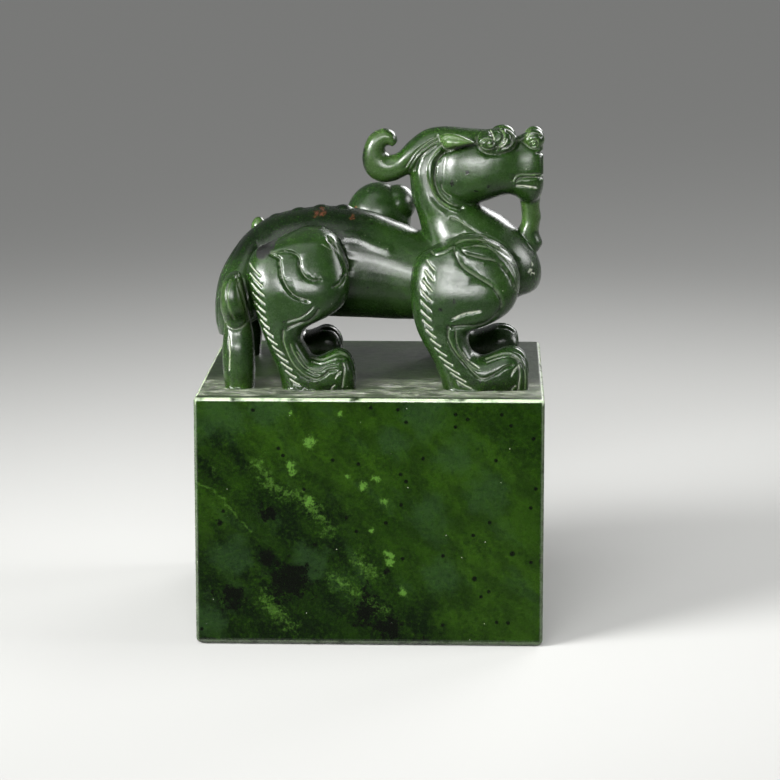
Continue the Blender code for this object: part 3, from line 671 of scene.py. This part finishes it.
def carve(mesh):
    """Sinks the carved lines into the skin along its own normals."""
    spots, facing = vertex_arrays(mesh)
    spots -= facing * carving_depth(spots, facing)[0][:, None]
    spots = spots * SHARE + np.array(place(0, 0, 0))
    mesh.vertices.foreach_set("co", spots.ravel())
    mesh.update()


def beast():
    """The figure as one carved skin."""
    mesh = fused_skin()
    carve(mesh)
    obj = put_in_scene("beast_form", mesh)
    thin = obj.modifiers.new("thin", "DECIMATE")
    thin.ratio = TRIANGLES / (2 * len(mesh.polygons))
    return put_in_scene("beast_form", evaluated(obj))


def square_ring(half, corner, z, steps=6):
    """Points round a square of this half side with rounded corners."""
    ring = []
    for quarter in range(4):
        turn = quarter * math.pi / 2
        for step in range(steps + 1):
            angle = turn + step / steps * math.pi / 2
            x = half - corner
            cx = x * (1 if quarter in (0, 3) else -1)
            cy = x * (1 if quarter in (0, 1) else -1)
            ring.append(Vector((cx + corner * math.cos(angle), cy + corner * math.sin(angle), z)))
    return ring


def block():
    """The block: square rings, drawn in round the foot and the top edge."""
    rings = []
    for step in range(FOOT_STEPS + 1):
        angle = step / FOOT_STEPS * math.pi / 2
        inset = FOOT_EDGE_ROUND * (1 - math.sin(angle))
        z = FOOT_EDGE_ROUND * (1 - math.cos(angle))
        rings.append(square_ring(BLOCK_SIDE / 2 - inset, UPRIGHT_EDGE_ROUND, z))
    for step in range(TOP_STEPS + 1):
        angle = step / TOP_STEPS * math.pi / 2
        inset = TOP_EDGE_ROUND * (1 - math.cos(angle))
        z = BLOCK_HEIGHT - TOP_EDGE_ROUND * (1 - math.sin(angle))
        rings.append(square_ring(BLOCK_SIDE / 2 - inset, UPRIGHT_EDGE_ROUND, z))
    bm = bmesh.new()
    add_rings(bm, rings)
    return add_object("seal", bm)


def chips():
    """Small dents struck out of the front top edge."""
    bm = bmesh.new()
    for x in EDGE_CHIPS:
        made = bmesh.ops.create_icosphere(bm, subdivisions=2, radius=1.0)["verts"]
        for vert in made:
            reach = Vector([r * v for r, v in zip(CHIP_RADII, vert.co)])
            vert.co = Vector((x, LOW[1], BLOCK_HEIGHT)) + reach
    return add_object("edge_chips", bm)


def shade(mesh):
    """Smooth shading everywhere but on the block's flat faces."""
    for face in mesh.polygons:
        flat = max(abs(c) for c in face.normal) > FLAT_FACING
        face.use_smooth = not (flat and face.center.z < BLOCK_HEIGHT + HEIGHT_SLACK)


def stone_depth(mesh):
    """How far the stone reaches in under each vertex, up to RAY_REACH."""
    tree = BVHTree.FromPolygons([v.co for v in mesh.vertices], [tuple(p.vertices) for p in mesh.polygons])
    depths = []
    for vert, normal in zip(mesh.vertices, mesh.vertex_normals):
        inward = -normal.vector
        hit = tree.ray_cast(vert.co + inward * RAY_START, inward, RAY_REACH)
        depths.append(RAY_REACH if hit[0] is None else hit[3])
    return np.array(depths)


def seal():
    figure = beast()
    body = block()
    struck = chips()
    for operation, other in (("UNION", figure), ("DIFFERENCE", struck)):
        step = body.modifiers.new(operation, "BOOLEAN")
        step.operation = operation
        step.solver = "EXACT"
        step.object = other
    mesh = evaluated(body)
    bpy.data.objects.remove(figure)
    bpy.data.objects.remove(struck)
    shade(mesh)
    spots, facing = vertex_arrays(mesh)
    on_beast = spots[:, 2] > BEAST_FROM
    cuts = carving_depth(spots, facing)[1]
    thin = np.clip((THIN_STONE - stone_depth(mesh)) / THIN_STONE, 0, 1)
    for name, share in (("cuts", cuts), ("thin", thin)):
        mesh.attributes.new(name, "FLOAT", "POINT").data.foreach_set("value", share * on_beast)
    return put_in_scene("seal", mesh)


class Nodes:
    """Short calls for laying shader nodes."""

    def __init__(self, owner):
        owner.use_nodes = True
        self.tree = owner.node_tree

    def add(self, kind, **settings):
        node = self.tree.nodes.new(kind)
        for key, value in settings.items():
            setattr(node, key, value)
        return node

    def link(self, a, b):
        self.tree.links.new(a, b)

    def feed(self, socket, value):
        if isinstance(value, bpy.types.NodeSocket):
            self.link(value, socket)
        else:
            socket.default_value = value

    def fill(self, node, values):
        """Feeds sockets by their names or numbers."""
        for name, value in values.items():
            self.feed(node.inputs[name], value)

    def math(self, operation, a, b, clamp=False):
        node = self.add("ShaderNodeMath", operation=operation, use_clamp=clamp)
        self.fill(node, {0: a, 1: b})
        return node.outputs[0]

    def times(self, a, b, clamp=False):
        return self.math("MULTIPLY", a, b, clamp)

    def plus(self, a, b, clamp=False):
        return self.math("ADD", a, b, clamp)

    def most(self, a, b):
        return self.math("MAXIMUM", a, b)

    def least(self, a, b):
        return self.math("MINIMUM", a, b)

    def vector(self, operation, a, b):
        """The outputs of a vector operation on two places."""
        node = self.add("ShaderNodeVectorMath", operation=operation)
        self.fill(node, {0: a, 1: b})
        return node.outputs

    def scaled(self, vector, factor):
        node = self.add("ShaderNodeVectorMath", operation="SCALE")
        self.fill(node, {0: vector, "Scale": factor})
        return node.outputs[0]

    def laid(self, vector, stretch, turn=(0, 0, 0)):
        """A place turned and stretched, for marks that lie one way."""
        node = self.add("ShaderNodeMapping", vector_type="TEXTURE")
        self.fill(node, {"Vector": vector, "Rotation": turn, "Scale": stretch})
        return node.outputs[0]

    def noise(self, vector, scale, detail=3.0, rough=0.55):
        node = self.add("ShaderNodeTexNoise")
        self.fill(node, {"Vector": vector, "Scale": scale, "Detail": detail, "Roughness": rough})
        return node.outputs["Fac"]

    def cells(self, vector, scale):
        """The distance to the nearest of many strewn points, and a chance value for that point."""
        node = self.add("ShaderNodeTexVoronoi")
        self.fill(node, {"Vector": vector, "Scale": scale})
        pick = self.add("ShaderNodeSeparateColor")
        self.link(node.outputs["Color"], pick.inputs[0])
        return node.outputs["Distance"], pick.outputs[0]

    def ramp(self, value, low, high):
        """0 below low, 1 above high, smooth between; low above high turns it round."""
        node = self.add("ShaderNodeMapRange", interpolation_type="SMOOTHSTEP")
        self.fill(node, {"Value": value, "From Min": min(low, high), "From Max": max(low, high)})
        self.fill(node, {"To Min": float(low >= high), "To Max": float(low < high)})
        return node.outputs["Result"]

    def mix(self, share, a, b):
        node = self.add("ShaderNodeMix", data_type="RGBA")
        self.fill(node, {0: share, 6: a, 7: b})
        return node.outputs[2]


# Stone colours, and those painted for glow, shade and highlight
DEEP_GREEN = (0.0006, 0.0030, 0.0001, 1)
MID_GREEN = (0.0036, 0.0130, 0.0002, 1)
LEAF_GREEN = (0.0090, 0.0262, 0.0012, 1)
CLOUD_GREEN = (0.0085, 0.0220, 0.0060, 1)
GLOW_PAINT_GREEN = (0.0420, 0.0800, 0.0200, 1)
FLECK_GREEN = (0.0400, 0.0950, 0.0130, 1)
INCLUSION_AND_SHADE = (0.0003, 0.0008, 0.0001, 1)
PALE_DUST_AND_GLINT = (0.32, 0.34, 0.27, 1)
EDGE_HIGHLIGHT_PAINT = (0.34, 0.40, 0.28, 1)
OXIDE = (0.060, 0.020, 0.009, 1)

# Marks in the stone at the front face, in millimetres: x, z and radius
FLECKS = (
    (-11.0, 38.4, 1.9), (-14.2, 33.9, 1.3), (-14.0, 32.9, 1.2), (-3.7, 32.0, 0.9),
    (-0.9, 30.0, 1.7), (1.3, 31.6, 1.1), (2.9, 27.5, 1.1), (3.8, 17.3, 1.3), (3.9, 16.0, 1.3),
    (6.0, 10.4, 1.5), (0.4, 21.8, 0.8), (-14.2, 43.4, 0.8), (-5.1, 43.4, 0.8), (-10.9, 27.2, 1.8),
)
VEINS = (
    ((-20.3, 34.2), (-18.5, 30.7), (-15.1, 28.8), (-12.7, 28.1), (-10.9, 27.2), (-9.0, 23.7),
        (-7.2, 22.1)),
    ((-6.6, 12.9), (-2.9, 10.4), (-0.5, 8.5), (2.6, 6.6)),
    ((-2.0, 16.7), (0.7, 13.6)),
    ((-19.7, 9.1), (-17.0, 6.6), (-14.8, 3.4)),
)
VEIN_RADIUS = 2.6
DARK_PATCHES = (
    (-14.3, 12.4, 6.5), (-25.0, 9.0, 4.2), (-0.5, 7.0, 5.0), (3.6, 3.4, 4.5), (-19.0, 16.5, 3.0),
    (3.2, 13.9, 1.4), (-0.1, 11.0, 1.2), (-18.2, 25.0, 2.4), (-27.3, 23.1, 1.0), (9.9, 0.9, 2.0),
)
DEEP_ZONES = (
    (-20.0, 6.0, 24.0), (-14.0, 21.0, 14.0), (-27.0, 36.0, 7.0), (5.0, 2.0, 11.0),
)
CLOUD_ZONES = (
    (-27.0, 43.6, 7.0), (-19.0, 45.0, 6.0), (10.0, 44.0, 6.5), (5.0, 38.5, 4.5), (15.5, 35.8, 5.0),
    (21.5, 29.0, 6.0), (11.0, 25.5, 5.0), (13.5, 13.5, 5.0), (-11.0, 15.5, 5.0), (-25.5, 17.0, 5.0),
    (-30.0, 5.0, 5.0),
)
BLACK_DOTS = (
    (24.2, 43.6), (25.9, 41.6), (15.8, 43.6), (18.0, 42.7), (15.8, 41.3), (30.0, 39.2), (23.2, 35.1),
    (5.8, 32.4), (6.8, 31.1), (5.9, 26.7), (9.9, 35.4), (-6.6, 35.0), (-1.9, 34.3), (-4.1, 24.2),
    (-2.3, 21.7), (3.1, 23.3), (22.1, 23.5), (19.1, 21.1), (13.6, 17.2), (6.2, 16.6), (29.7, 16.1),
    (20.6, 9.5), (22.0, 10.5), (13.6, 4.1), (23.5, 4.7), (25.6, 4.6), (24.7, 0.9), (-15.7, 35.8),
    (-16.5, 37.1), (-11.9, 29.5), (-9.9, 19.1), (-21.1, 44.2), (0.4, 44.8), (5.3, 44.4), (6.8, 42.1),
    (30.5, 29.9), (29.6, 26.3), (-30.9, 3.0), (-26.7, 25.3),
)
DOT_RADIUS = 0.36
BIG_DOTS = (
    (26.3, 17.7), (19.4, 12.9), (31.7, 16.4),
)
BIG_DOT_RADIUS = 0.50
CRACK = ((-31.9, 31.3), (-29.2, 29.4), (-26.7, 27.5), (-23.7, 23.7), (-21.9, 21.8))
# Marks on the near side of the figure, in its shares: x, z and radius
BODY_PITS = (
    (17.3, 38.9, 0.45), (14.7, 36.7, 0.45), (21.7, 36.2, 0.40), (19.0, 35.4, 0.30),
    (13.0, 15.3, 0.40), (15.3, 16.6, 0.45),
)
# painted shade: the deep notch at the rump is painted near black
RUMP_HOLE_SHADE = (
    (-20.3, 24.9, 1.1), (-19.5, 25.6, 1.1), (-18.6, 26.3, 0.8),
)
CHEST_PITS = (
    (29.3, 20.2, 0.36), (29.8, 21.2, 0.26), (29.9, 19.6, 0.28),
)
RIDGE_STAINS = (
    (-10.9, 30.6, 0.45), (-9.6, 30.7, 0.55), (-3.9, 30.0, 0.35),
)
FRONT_Y = LOW[1] * 1000
TOP_MM = BLOCK_HEIGHT * 1000
WAVER_MM = 2.2  # how far the marks' edges are torn
GRAIN_SLOPE = math.radians(45)  # down toward +X
GRAIN_STRETCH = (2.4, 1.2, 1.0)
BRUSH_STRETCH = (4.5, 1.3, 1.0)

# How strongly each mark shows, as a share: the stone's own marks, and the painted glow, shade and
# highlight
LIGHT_GRAIN = 0.50
DARK_GRAIN = 0.45
MILKINESS = 0.40
PAINTED_BACK_SHADE = 0.85
PAINTED_GLOW = 0.9
FLECK_LIGHT = 0.85
CRACK_LIGHT = 0.25
CLOT_SHADE = 0.97
DOT_SHADE = 0.92
CUT_DUST_AND_GLINT = 0.68
MOTE_DUST = 0.6
PIT_DUST = 0.55
FAR_DUST = 0.04  # on the block's top, away from the front
# painted highlight along the block's rounded edges
PAINTED_EDGE_HIGHLIGHT = 0.12
PAINTED_TOP_EDGE_HIGHLIGHT = 0.62  # more than that on the top edge

# Roughness of the clean polish, and what each thing on it adds
POLISH_ROUGH = 0.205
SMEAR_ROUGH = 0.10
SCUFF_ROUGH = 0.07
DUST_ROUGH = 0.6
TOP_ROUGH = 0.10
HOLE_ROUGH = 0.50

# How the stone takes light
NEPHRITE_IOR = 1.61
GLOW = 0.3  # light that enters the stone and comes out near by
GLOW_BY_COLOUR = (0.6, 1.0, 0.35)
GLOW_REACH = 0.0015
BUMP_HEIGHT = 0.00008
BUMP_STRENGTH = 0.45
FIGURE_GLOSS = 0.22
SIDE_GLOSS = 0.05  # the block's upright faces are handled dull


def front_point(spot):
    """A mark's place in millimetres on the front face."""
    return (spot[0], FRONT_Y, spot[1])


def closest(n, point, spots, radius=None):
    """The smallest distance from a point to any of the spots, as a share of the spot's radius."""
    least = None
    for spot in spots:
        apart = n.vector("DISTANCE", point, front_point(spot))["Value"]
        share = n.math("DIVIDE", apart, spot[2] if radius is None else radius)
        least = share if least is None else n.least(least, share)
    return least


def beside_run(n, point, run):
    """The distance in millimetres from a point to a run of straight pieces on the front face."""
    least = None
    for start, end in zip(run, run[1:]):
        a, b = Vector(front_point(start)), Vector(front_point(end))
        offset = n.vector("SUBTRACT", point, a)[0]
        share = n.vector("DOT_PRODUCT", offset, (b - a) / (b - a).length_squared)["Value"]
        share = n.most(n.least(share, 1.0), 0.0)
        apart = n.vector("DISTANCE", offset, n.scaled(b - a, share))["Value"]
        least = apart if least is None else n.least(least, apart)
    return least


def on_figure(n, point, marks):
    """1 inside any of the figure's marks, which are given in its shares for its near side."""
    flat = n.vector("MULTIPLY", point, (1, 0, 1))[0]
    total = None
    for x, z, radius in marks:
        spot = place(x, 0, z) * 1000
        apart = n.vector("DISTANCE", flat, (spot.x, 0, spot.z))["Value"]
        inside = n.ramp(apart, radius * 1.25, radius * 0.7)
        total = inside if total is None else n.most(total, inside)
    return total


def ragged(n, share, grain, strength, low, high):
    """A spot's mask with its edge torn by a noise: 1 well inside, 0 outside."""
    field = n.math("SUBTRACT", 1.0, share)
    field = n.plus(field, n.times(n.math("SUBTRACT", grain, 0.5), strength))
    return n.ramp(field, low, high)


def jade(name, gloss):
    """Polished spinach-green nephrite: cloudy, veined along a slope, flecked and specked."""
    material = bpy.data.materials.new(name)
    n = Nodes(material)
    shader = n.tree.nodes["Principled BSDF"]
    mm = n.scaled(n.add("ShaderNodeTexCoord").outputs["Object"], 1000.0)
    place_mm = n.add("ShaderNodeSeparateXYZ")
    n.link(mm, place_mm.inputs[0])
    x_mm, y_mm, z_mm = place_mm.outputs

    # wavering copy of the place, so that no mark has a clean edge
    waver = n.add("ShaderNodeTexNoise")
    n.fill(waver, {"Vector": mm, "Scale": 0.7, "Detail": 4.0})
    shift = n.add("ShaderNodeVectorMath", operation="MULTIPLY_ADD")
    n.fill(shift, {0: waver.outputs["Color"], 1: (WAVER_MM,) * 3})
    n.link(n.vector("SUBTRACT", mm, (WAVER_MM / 2,) * 3)[0], shift.inputs[2])
    torn = shift.outputs[0]

    # colours that run along the grain of the stone
    along = n.laid(torn, GRAIN_STRETCH, (0, GRAIN_SLOPE, 0))
    broad = n.noise(along, 0.055, 3, 0.5)
    veins = n.noise(along, 0.30, 5, 0.62)
    fine = n.noise(mm, 1.6, 5, 0.7)
    speckle = n.noise(mm, 2.6, 3, 0.7)
    colour = n.mix(n.ramp(broad, 0.35, 0.65), MID_GREEN, LEAF_GREEN)
    deep = n.ramp(closest(n, mm, DEEP_ZONES), 1.1, 0.5)
    wisps = n.ramp(veins, 0.62, 0.40)
    dark_share = n.plus(n.times(wisps, 0.55), n.times(deep, 0.52), clamp=True)
    colour = n.mix(dark_share, colour, DEEP_GREEN)
    cloud = ragged(n, closest(n, torn, CLOUD_ZONES), n.noise(mm, 0.30, 5, 0.6), 1.6, 0.05, 0.75)
    strewn_cloud = n.times(n.ramp(n.noise(along, 0.16, 3), 0.55, 0.70), 0.6)
    colour = n.mix(n.times(n.most(cloud, strewn_cloud), 0.6), colour, CLOUD_GREEN)
    grain = n.times(n.ramp(fine, 0.48, 0.72), LIGHT_GRAIN)
    colour = n.mix(grain, colour, LEAF_GREEN)
    shadow = n.times(n.ramp(fine, 0.50, 0.34), DARK_GRAIN)
    colour = n.mix(shadow, colour, DEEP_GREEN)

    # the figure is milkier than the block; its back is painted dark, a painted shade where no light falls
    # from above
    figure = n.ramp(z_mm, TOP_MM + 1.0, TOP_MM + 4.0)
    colour = n.mix(n.times(figure, MILKINESS), colour, CLOUD_GREEN)
    painted_back_shade = n.times(n.ramp(y_mm, -13.0, -9.0), n.ramp(x_mm, 3.0, -4.0))
    painted_back_shade = n.times(painted_back_shade, n.ramp(z_mm, TOP_MM + 20.0, TOP_MM + 24.0))
    painted_back_shade = n.times(painted_back_shade, n.ramp(y_mm, 4.0, 1.0))
    colour = n.mix(n.times(painted_back_shade, PAINTED_BACK_SHADE), colour, DEEP_GREEN)

    # painted glow: thin parts are painted lighter green, standing in for light shining through the stone
    thin = n.add("ShaderNodeAttribute", attribute_name="thin").outputs["Fac"]
    colour = n.mix(n.times(thin, PAINTED_GLOW), colour, GLOW_PAINT_GREEN)

    # light flecks and runs of flecks, and small ones strewn along the grain
    flecks = ragged(n, closest(n, torn, FLECKS), speckle, 1.6, 0.25, 0.80)
    near_vein = None
    for run in VEINS:
        apart = n.math("DIVIDE", beside_run(n, torn, run), VEIN_RADIUS)
        near_vein = apart if near_vein is None else n.least(near_vein, apart)
    runs = n.times(ragged(n, near_vein, n.noise(mm, 1.3, 6, 0.8), 5.0, 0.45, 1.50), 0.6)
    strewn = n.times(n.ramp(n.noise(along, 0.42, 4, 0.7), 0.66, 0.80), 0.45)
    light = n.most(n.most(flecks, runs), strewn)
    colour = n.mix(n.times(light, FLECK_LIGHT), colour, FLECK_GREEN)
    crack = n.ramp(beside_run(n, torn, CRACK), 0.35, 0.10)
    colour = n.mix(n.times(crack, CRACK_LIGHT), colour, FLECK_GREEN)

    # dark clotted patches, round black specks and pits
    clot = ragged(n, closest(n, torn, DARK_PATCHES), n.noise(mm, 0.70, 7, 0.8), 3.2, 0.34, 0.66)
    colour = n.mix(n.times(clot, CLOT_SHADE), colour, INCLUSION_AND_SHADE)
    apart, chance = n.cells(torn, 0.20)
    radius = n.times(n.ramp(chance, 0.55, 1.0), 0.085)
    strewn_dots = n.ramp(n.math("SUBTRACT", radius, apart), -0.01, 0.02)
    strewn_dots = n.times(strewn_dots, n.ramp(y_mm, FRONT_Y + 0.3, FRONT_Y + 0.6))
    named = n.ramp(closest(n, mm, BLACK_DOTS, DOT_RADIUS), 1.3, 0.7)
    named = n.most(named, n.ramp(closest(n, mm, BIG_DOTS, BIG_DOT_RADIUS), 1.3, 0.7))
    near_side = n.ramp(y_mm, -4.0, -6.0)
    pits = n.times(on_figure(n, torn, BODY_PITS), near_side)
    dots = n.most(n.most(strewn_dots, named), pits)
    colour = n.mix(n.times(dots, DOT_SHADE), colour, INCLUSION_AND_SHADE)
    # painted shade: the deep notch at the rump is painted near black and rough
    rump_hole_shade = n.times(on_figure(n, mm, RUMP_HOLE_SHADE), n.ramp(y_mm, -9.0, -11.0))
    colour = n.mix(rump_hole_shade, colour, INCLUSION_AND_SHADE)
    stains = n.times(on_figure(n, torn, RIDGE_STAINS), n.ramp(speckle, 0.42, 0.55))
    colour = n.mix(stains, colour, OXIDE)

    # dust: a little in the cuts, where the pale paint is also a painted highlight along the cut strokes,
    # more on the block's top by the front, and as lone motes
    cuts = n.add("ShaderNodeAttribute", attribute_name="cuts").outputs["Fac"]
    cut_dust_and_glint = n.times(cuts, CUT_DUST_AND_GLINT)
    up = n.add("ShaderNodeSeparateXYZ")
    n.link(n.add("ShaderNodeNewGeometry").outputs["Normal"], up.inputs[0])
    below = n.ramp(z_mm, TOP_MM + 0.3, TOP_MM + 0.05)
    on_top = n.times(below, n.ramp(z_mm, TOP_MM - 0.35, TOP_MM - 0.1))
    on_top = n.times(on_top, n.ramp(up.outputs[2], 0.8, 0.95))
    strokes = n.ramp(n.noise(n.laid(mm, BRUSH_STRETCH), 1.3, 4, 0.7), 0.38, 0.66)
    by_front = n.times(n.ramp(y_mm, -8.0, -17.0), n.ramp(y_mm, FRONT_Y + 1.0, FRONT_Y + 3.0))
    patchy = n.ramp(n.noise(mm, 0.22, 4, 0.7), 0.36, 0.60)
    lying = n.times(n.plus(n.times(strokes, 0.7), 0.2), by_front)
    lying = n.times(lying, n.plus(n.times(patchy, 0.8), 0.3))
    gritty = n.plus(n.times(n.ramp(n.noise(mm, 3.0, 4, 0.8), 0.35, 0.60), 0.65), 0.25)
    lying = n.times(lying, gritty, clamp=True)
    top_dust = n.times(on_top, n.plus(lying, n.times(strokes, FAR_DUST)), clamp=True)
    apart, chance = n.cells(mm, 0.7)
    motes = n.times(n.ramp(apart, 0.075, 0.045), n.ramp(chance, 0.80, 0.84))
    chest = n.times(on_figure(n, torn, CHEST_PITS), near_side)
    dust_and_glint_share = n.most(n.most(cut_dust_and_glint, top_dust), n.times(motes, MOTE_DUST))
    dust_and_glint_share = n.most(dust_and_glint_share, n.times(chest, PIT_DUST))
    colour = n.mix(dust_and_glint_share, colour, PALE_DUST_AND_GLINT)

    # painted highlight: the block's rounded edges are painted pale, the top one most, in place of the
    # highlight along them
    steepest = None
    for component in up.outputs:
        size = n.math("ABSOLUTE", component, 0.0)
        steepest = size if steepest is None else n.most(steepest, size)
    at_top = n.times(n.ramp(z_mm, TOP_MM - 1.5, TOP_MM - 0.7), PAINTED_TOP_EDGE_HIGHLIGHT)
    at_top = n.plus(at_top, PAINTED_EDGE_HIGHLIGHT)
    edge_highlight_mask = n.times(n.ramp(steepest, 0.985, 0.93), n.ramp(z_mm, TOP_MM + 0.02, TOP_MM - 0.02))
    edge_highlight_mask = n.times(n.times(edge_highlight_mask, at_top), n.ramp(n.noise(mm, 0.25, 3), 0.30, 0.50))
    colour = n.mix(edge_highlight_mask, colour, EDGE_HIGHLIGHT_PAINT)

    n.link(colour, shader.inputs["Base Color"])
    smear = n.ramp(n.noise(mm, 0.5, 5, 0.75), 0.35, 0.75)
    scuff = n.ramp(n.noise(mm, 3.4, 4, 0.8), 0.35, 0.65)
    smears = n.times(smear, SMEAR_ROUGH)
    rough = n.plus(smears, n.plus(n.times(scuff, SCUFF_ROUGH), POLISH_ROUGH))
    for share, added in ((dust_and_glint_share, DUST_ROUGH), (on_top, TOP_ROUGH), (rump_hole_shade, HOLE_ROUGH)):
        rough = n.plus(rough, n.times(share, added), clamp=True)
    n.link(rough, shader.inputs["Roughness"])
    n.fill(shader, {"IOR": NEPHRITE_IOR, "Specular IOR Level": gloss, "Subsurface Weight": GLOW})
    n.fill(shader, {"Subsurface Radius": GLOW_BY_COLOUR, "Subsurface Scale": GLOW_REACH})

    # hand polish: very slight waves and scratches, pitted where the black specks are
    bump = n.add("ShaderNodeBump")
    n.fill(bump, {"Distance": BUMP_HEIGHT, "Strength": BUMP_STRENGTH})
    waves = n.plus(n.noise(mm, 0.40, 2), n.times(n.noise(mm, 4.0, 4, 0.7), 0.26))
    waves = n.math("SUBTRACT", waves, n.times(dots, 0.35))
    n.link(waves, bump.inputs["Height"])
    n.link(bump.outputs[0], shader.inputs["Normal"])
    return material


def mark_sides(mesh):
    """Gives the block's flat upright faces the second material."""
    for face in mesh.polygons:
        upright = max(abs(face.normal.x), abs(face.normal.y)) > FLAT_FACING
        face.material_index = int(upright and face.center.z < BLOCK_HEIGHT)


# Gridded softboxes: name, place, across and up in metres, watts and the beam in degrees
AIM = (0, 0, 0.082)
SUN_STRENGTH = 1.45
SUN_ANGLE = math.radians(50)
SUN_TILT = (math.radians(25), math.radians(-20), 0)
SKY_COLOUR = (0.96, 0.98, 1.0, 1)
SKY_STRENGTH = 0.16
FLOOR_HALF = 6.0
FLOOR_COLOUR = (0.34, 0.34, 0.33, 1)
FLOOR_ROUGH = 0.9
FLOOR_GLOSS = 0.1
SOFTBOXES = (
    ("softbox_front", (-0.06, -0.56, 0.29), 0.36, 0.10, 0.54, 56),
    ("softbox_left", (-0.47, -0.33, 0.28), 0.36, 0.11, 1.55, 56),
    ("softbox_rear", (0.28, 0.54, 0.34), 0.40, 0.24, 0.45, 60),
    ("softbox_right", (0.56, 0.06, 0.32), 0.40, 0.24, 0.50, 60),
)


def studio():
    """A pale floor, soft strips for the polish, a wide soft sun and a low even sky."""
    bm = bmesh.new()
    bmesh.ops.create_grid(bm, x_segments=4, y_segments=4, size=FLOOR_HALF)
    floor = add_object("floor", bm)
    paint = bpy.data.materials.new("pale_floor")
    n = Nodes(paint)
    looks = {"Base Color": FLOOR_COLOUR, "Roughness": FLOOR_ROUGH, "Specular IOR Level": FLOOR_GLOSS}
    n.fill(n.tree.nodes["Principled BSDF"], looks)
    floor.data.materials.append(paint)
    world = bpy.data.worlds.new("studio")
    n = Nodes(world)
    n.fill(n.tree.nodes["Background"], {"Color": SKY_COLOUR, "Strength": SKY_STRENGTH})
    bpy.context.scene.world = world
    for name, spot, across, up, watts, beam in SOFTBOXES:
        light = put_in_scene(name, bpy.data.lights.new(name, "AREA"))
        light.data.shape = "RECTANGLE"
        light.data.size = across
        light.data.size_y = up
        light.data.energy = watts
        light.data.spread = math.radians(beam)
        light.location = spot
        light.rotation_euler = (Vector(AIM) - Vector(spot)).to_track_quat("-Z", "Y").to_euler()
    sun = put_in_scene("sun", bpy.data.lights.new("sun", "SUN"))
    sun.data.energy = SUN_STRENGTH
    sun.data.angle = SUN_ANGLE
    sun.rotation_euler = SUN_TILT
    bpy.context.scene.view_settings.view_transform = "Standard"


# Camera: a long lens a little above the beast, turned slightly left
FOCAL_PX = 3060.6
FRAME_PX = 780
SENSOR = 36.0  # width in millimetres
NEAR_CLIP = 0.01
CAMERA_SPOT = (0.02177, -0.57825, 0.14957)
PITCH_DOWN = math.radians(10.52)
TURN_LEFT = math.radians(1.877)


def camera():
    data = bpy.data.cameras.new("view")
    data.sensor_width = SENSOR
    data.lens = FOCAL_PX / FRAME_PX * data.sensor_width
    data.clip_start = NEAR_CLIP
    view = put_in_scene("view", data)
    view.location = CAMERA_SPOT
    view.rotation_euler = (math.pi / 2 - PITCH_DOWN, 0, TURN_LEFT)
    bpy.context.scene.camera = view


def main():
    camera()
    piece = seal()
    piece.data.materials.clear()
    piece.data.materials.append(jade("green_jade", FIGURE_GLOSS))
    piece.data.materials.append(jade("green_jade_sides", SIDE_GLOSS))
    mark_sides(piece.data)
    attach(piece, "root")
    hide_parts("jade_seal")
    studio()


main()
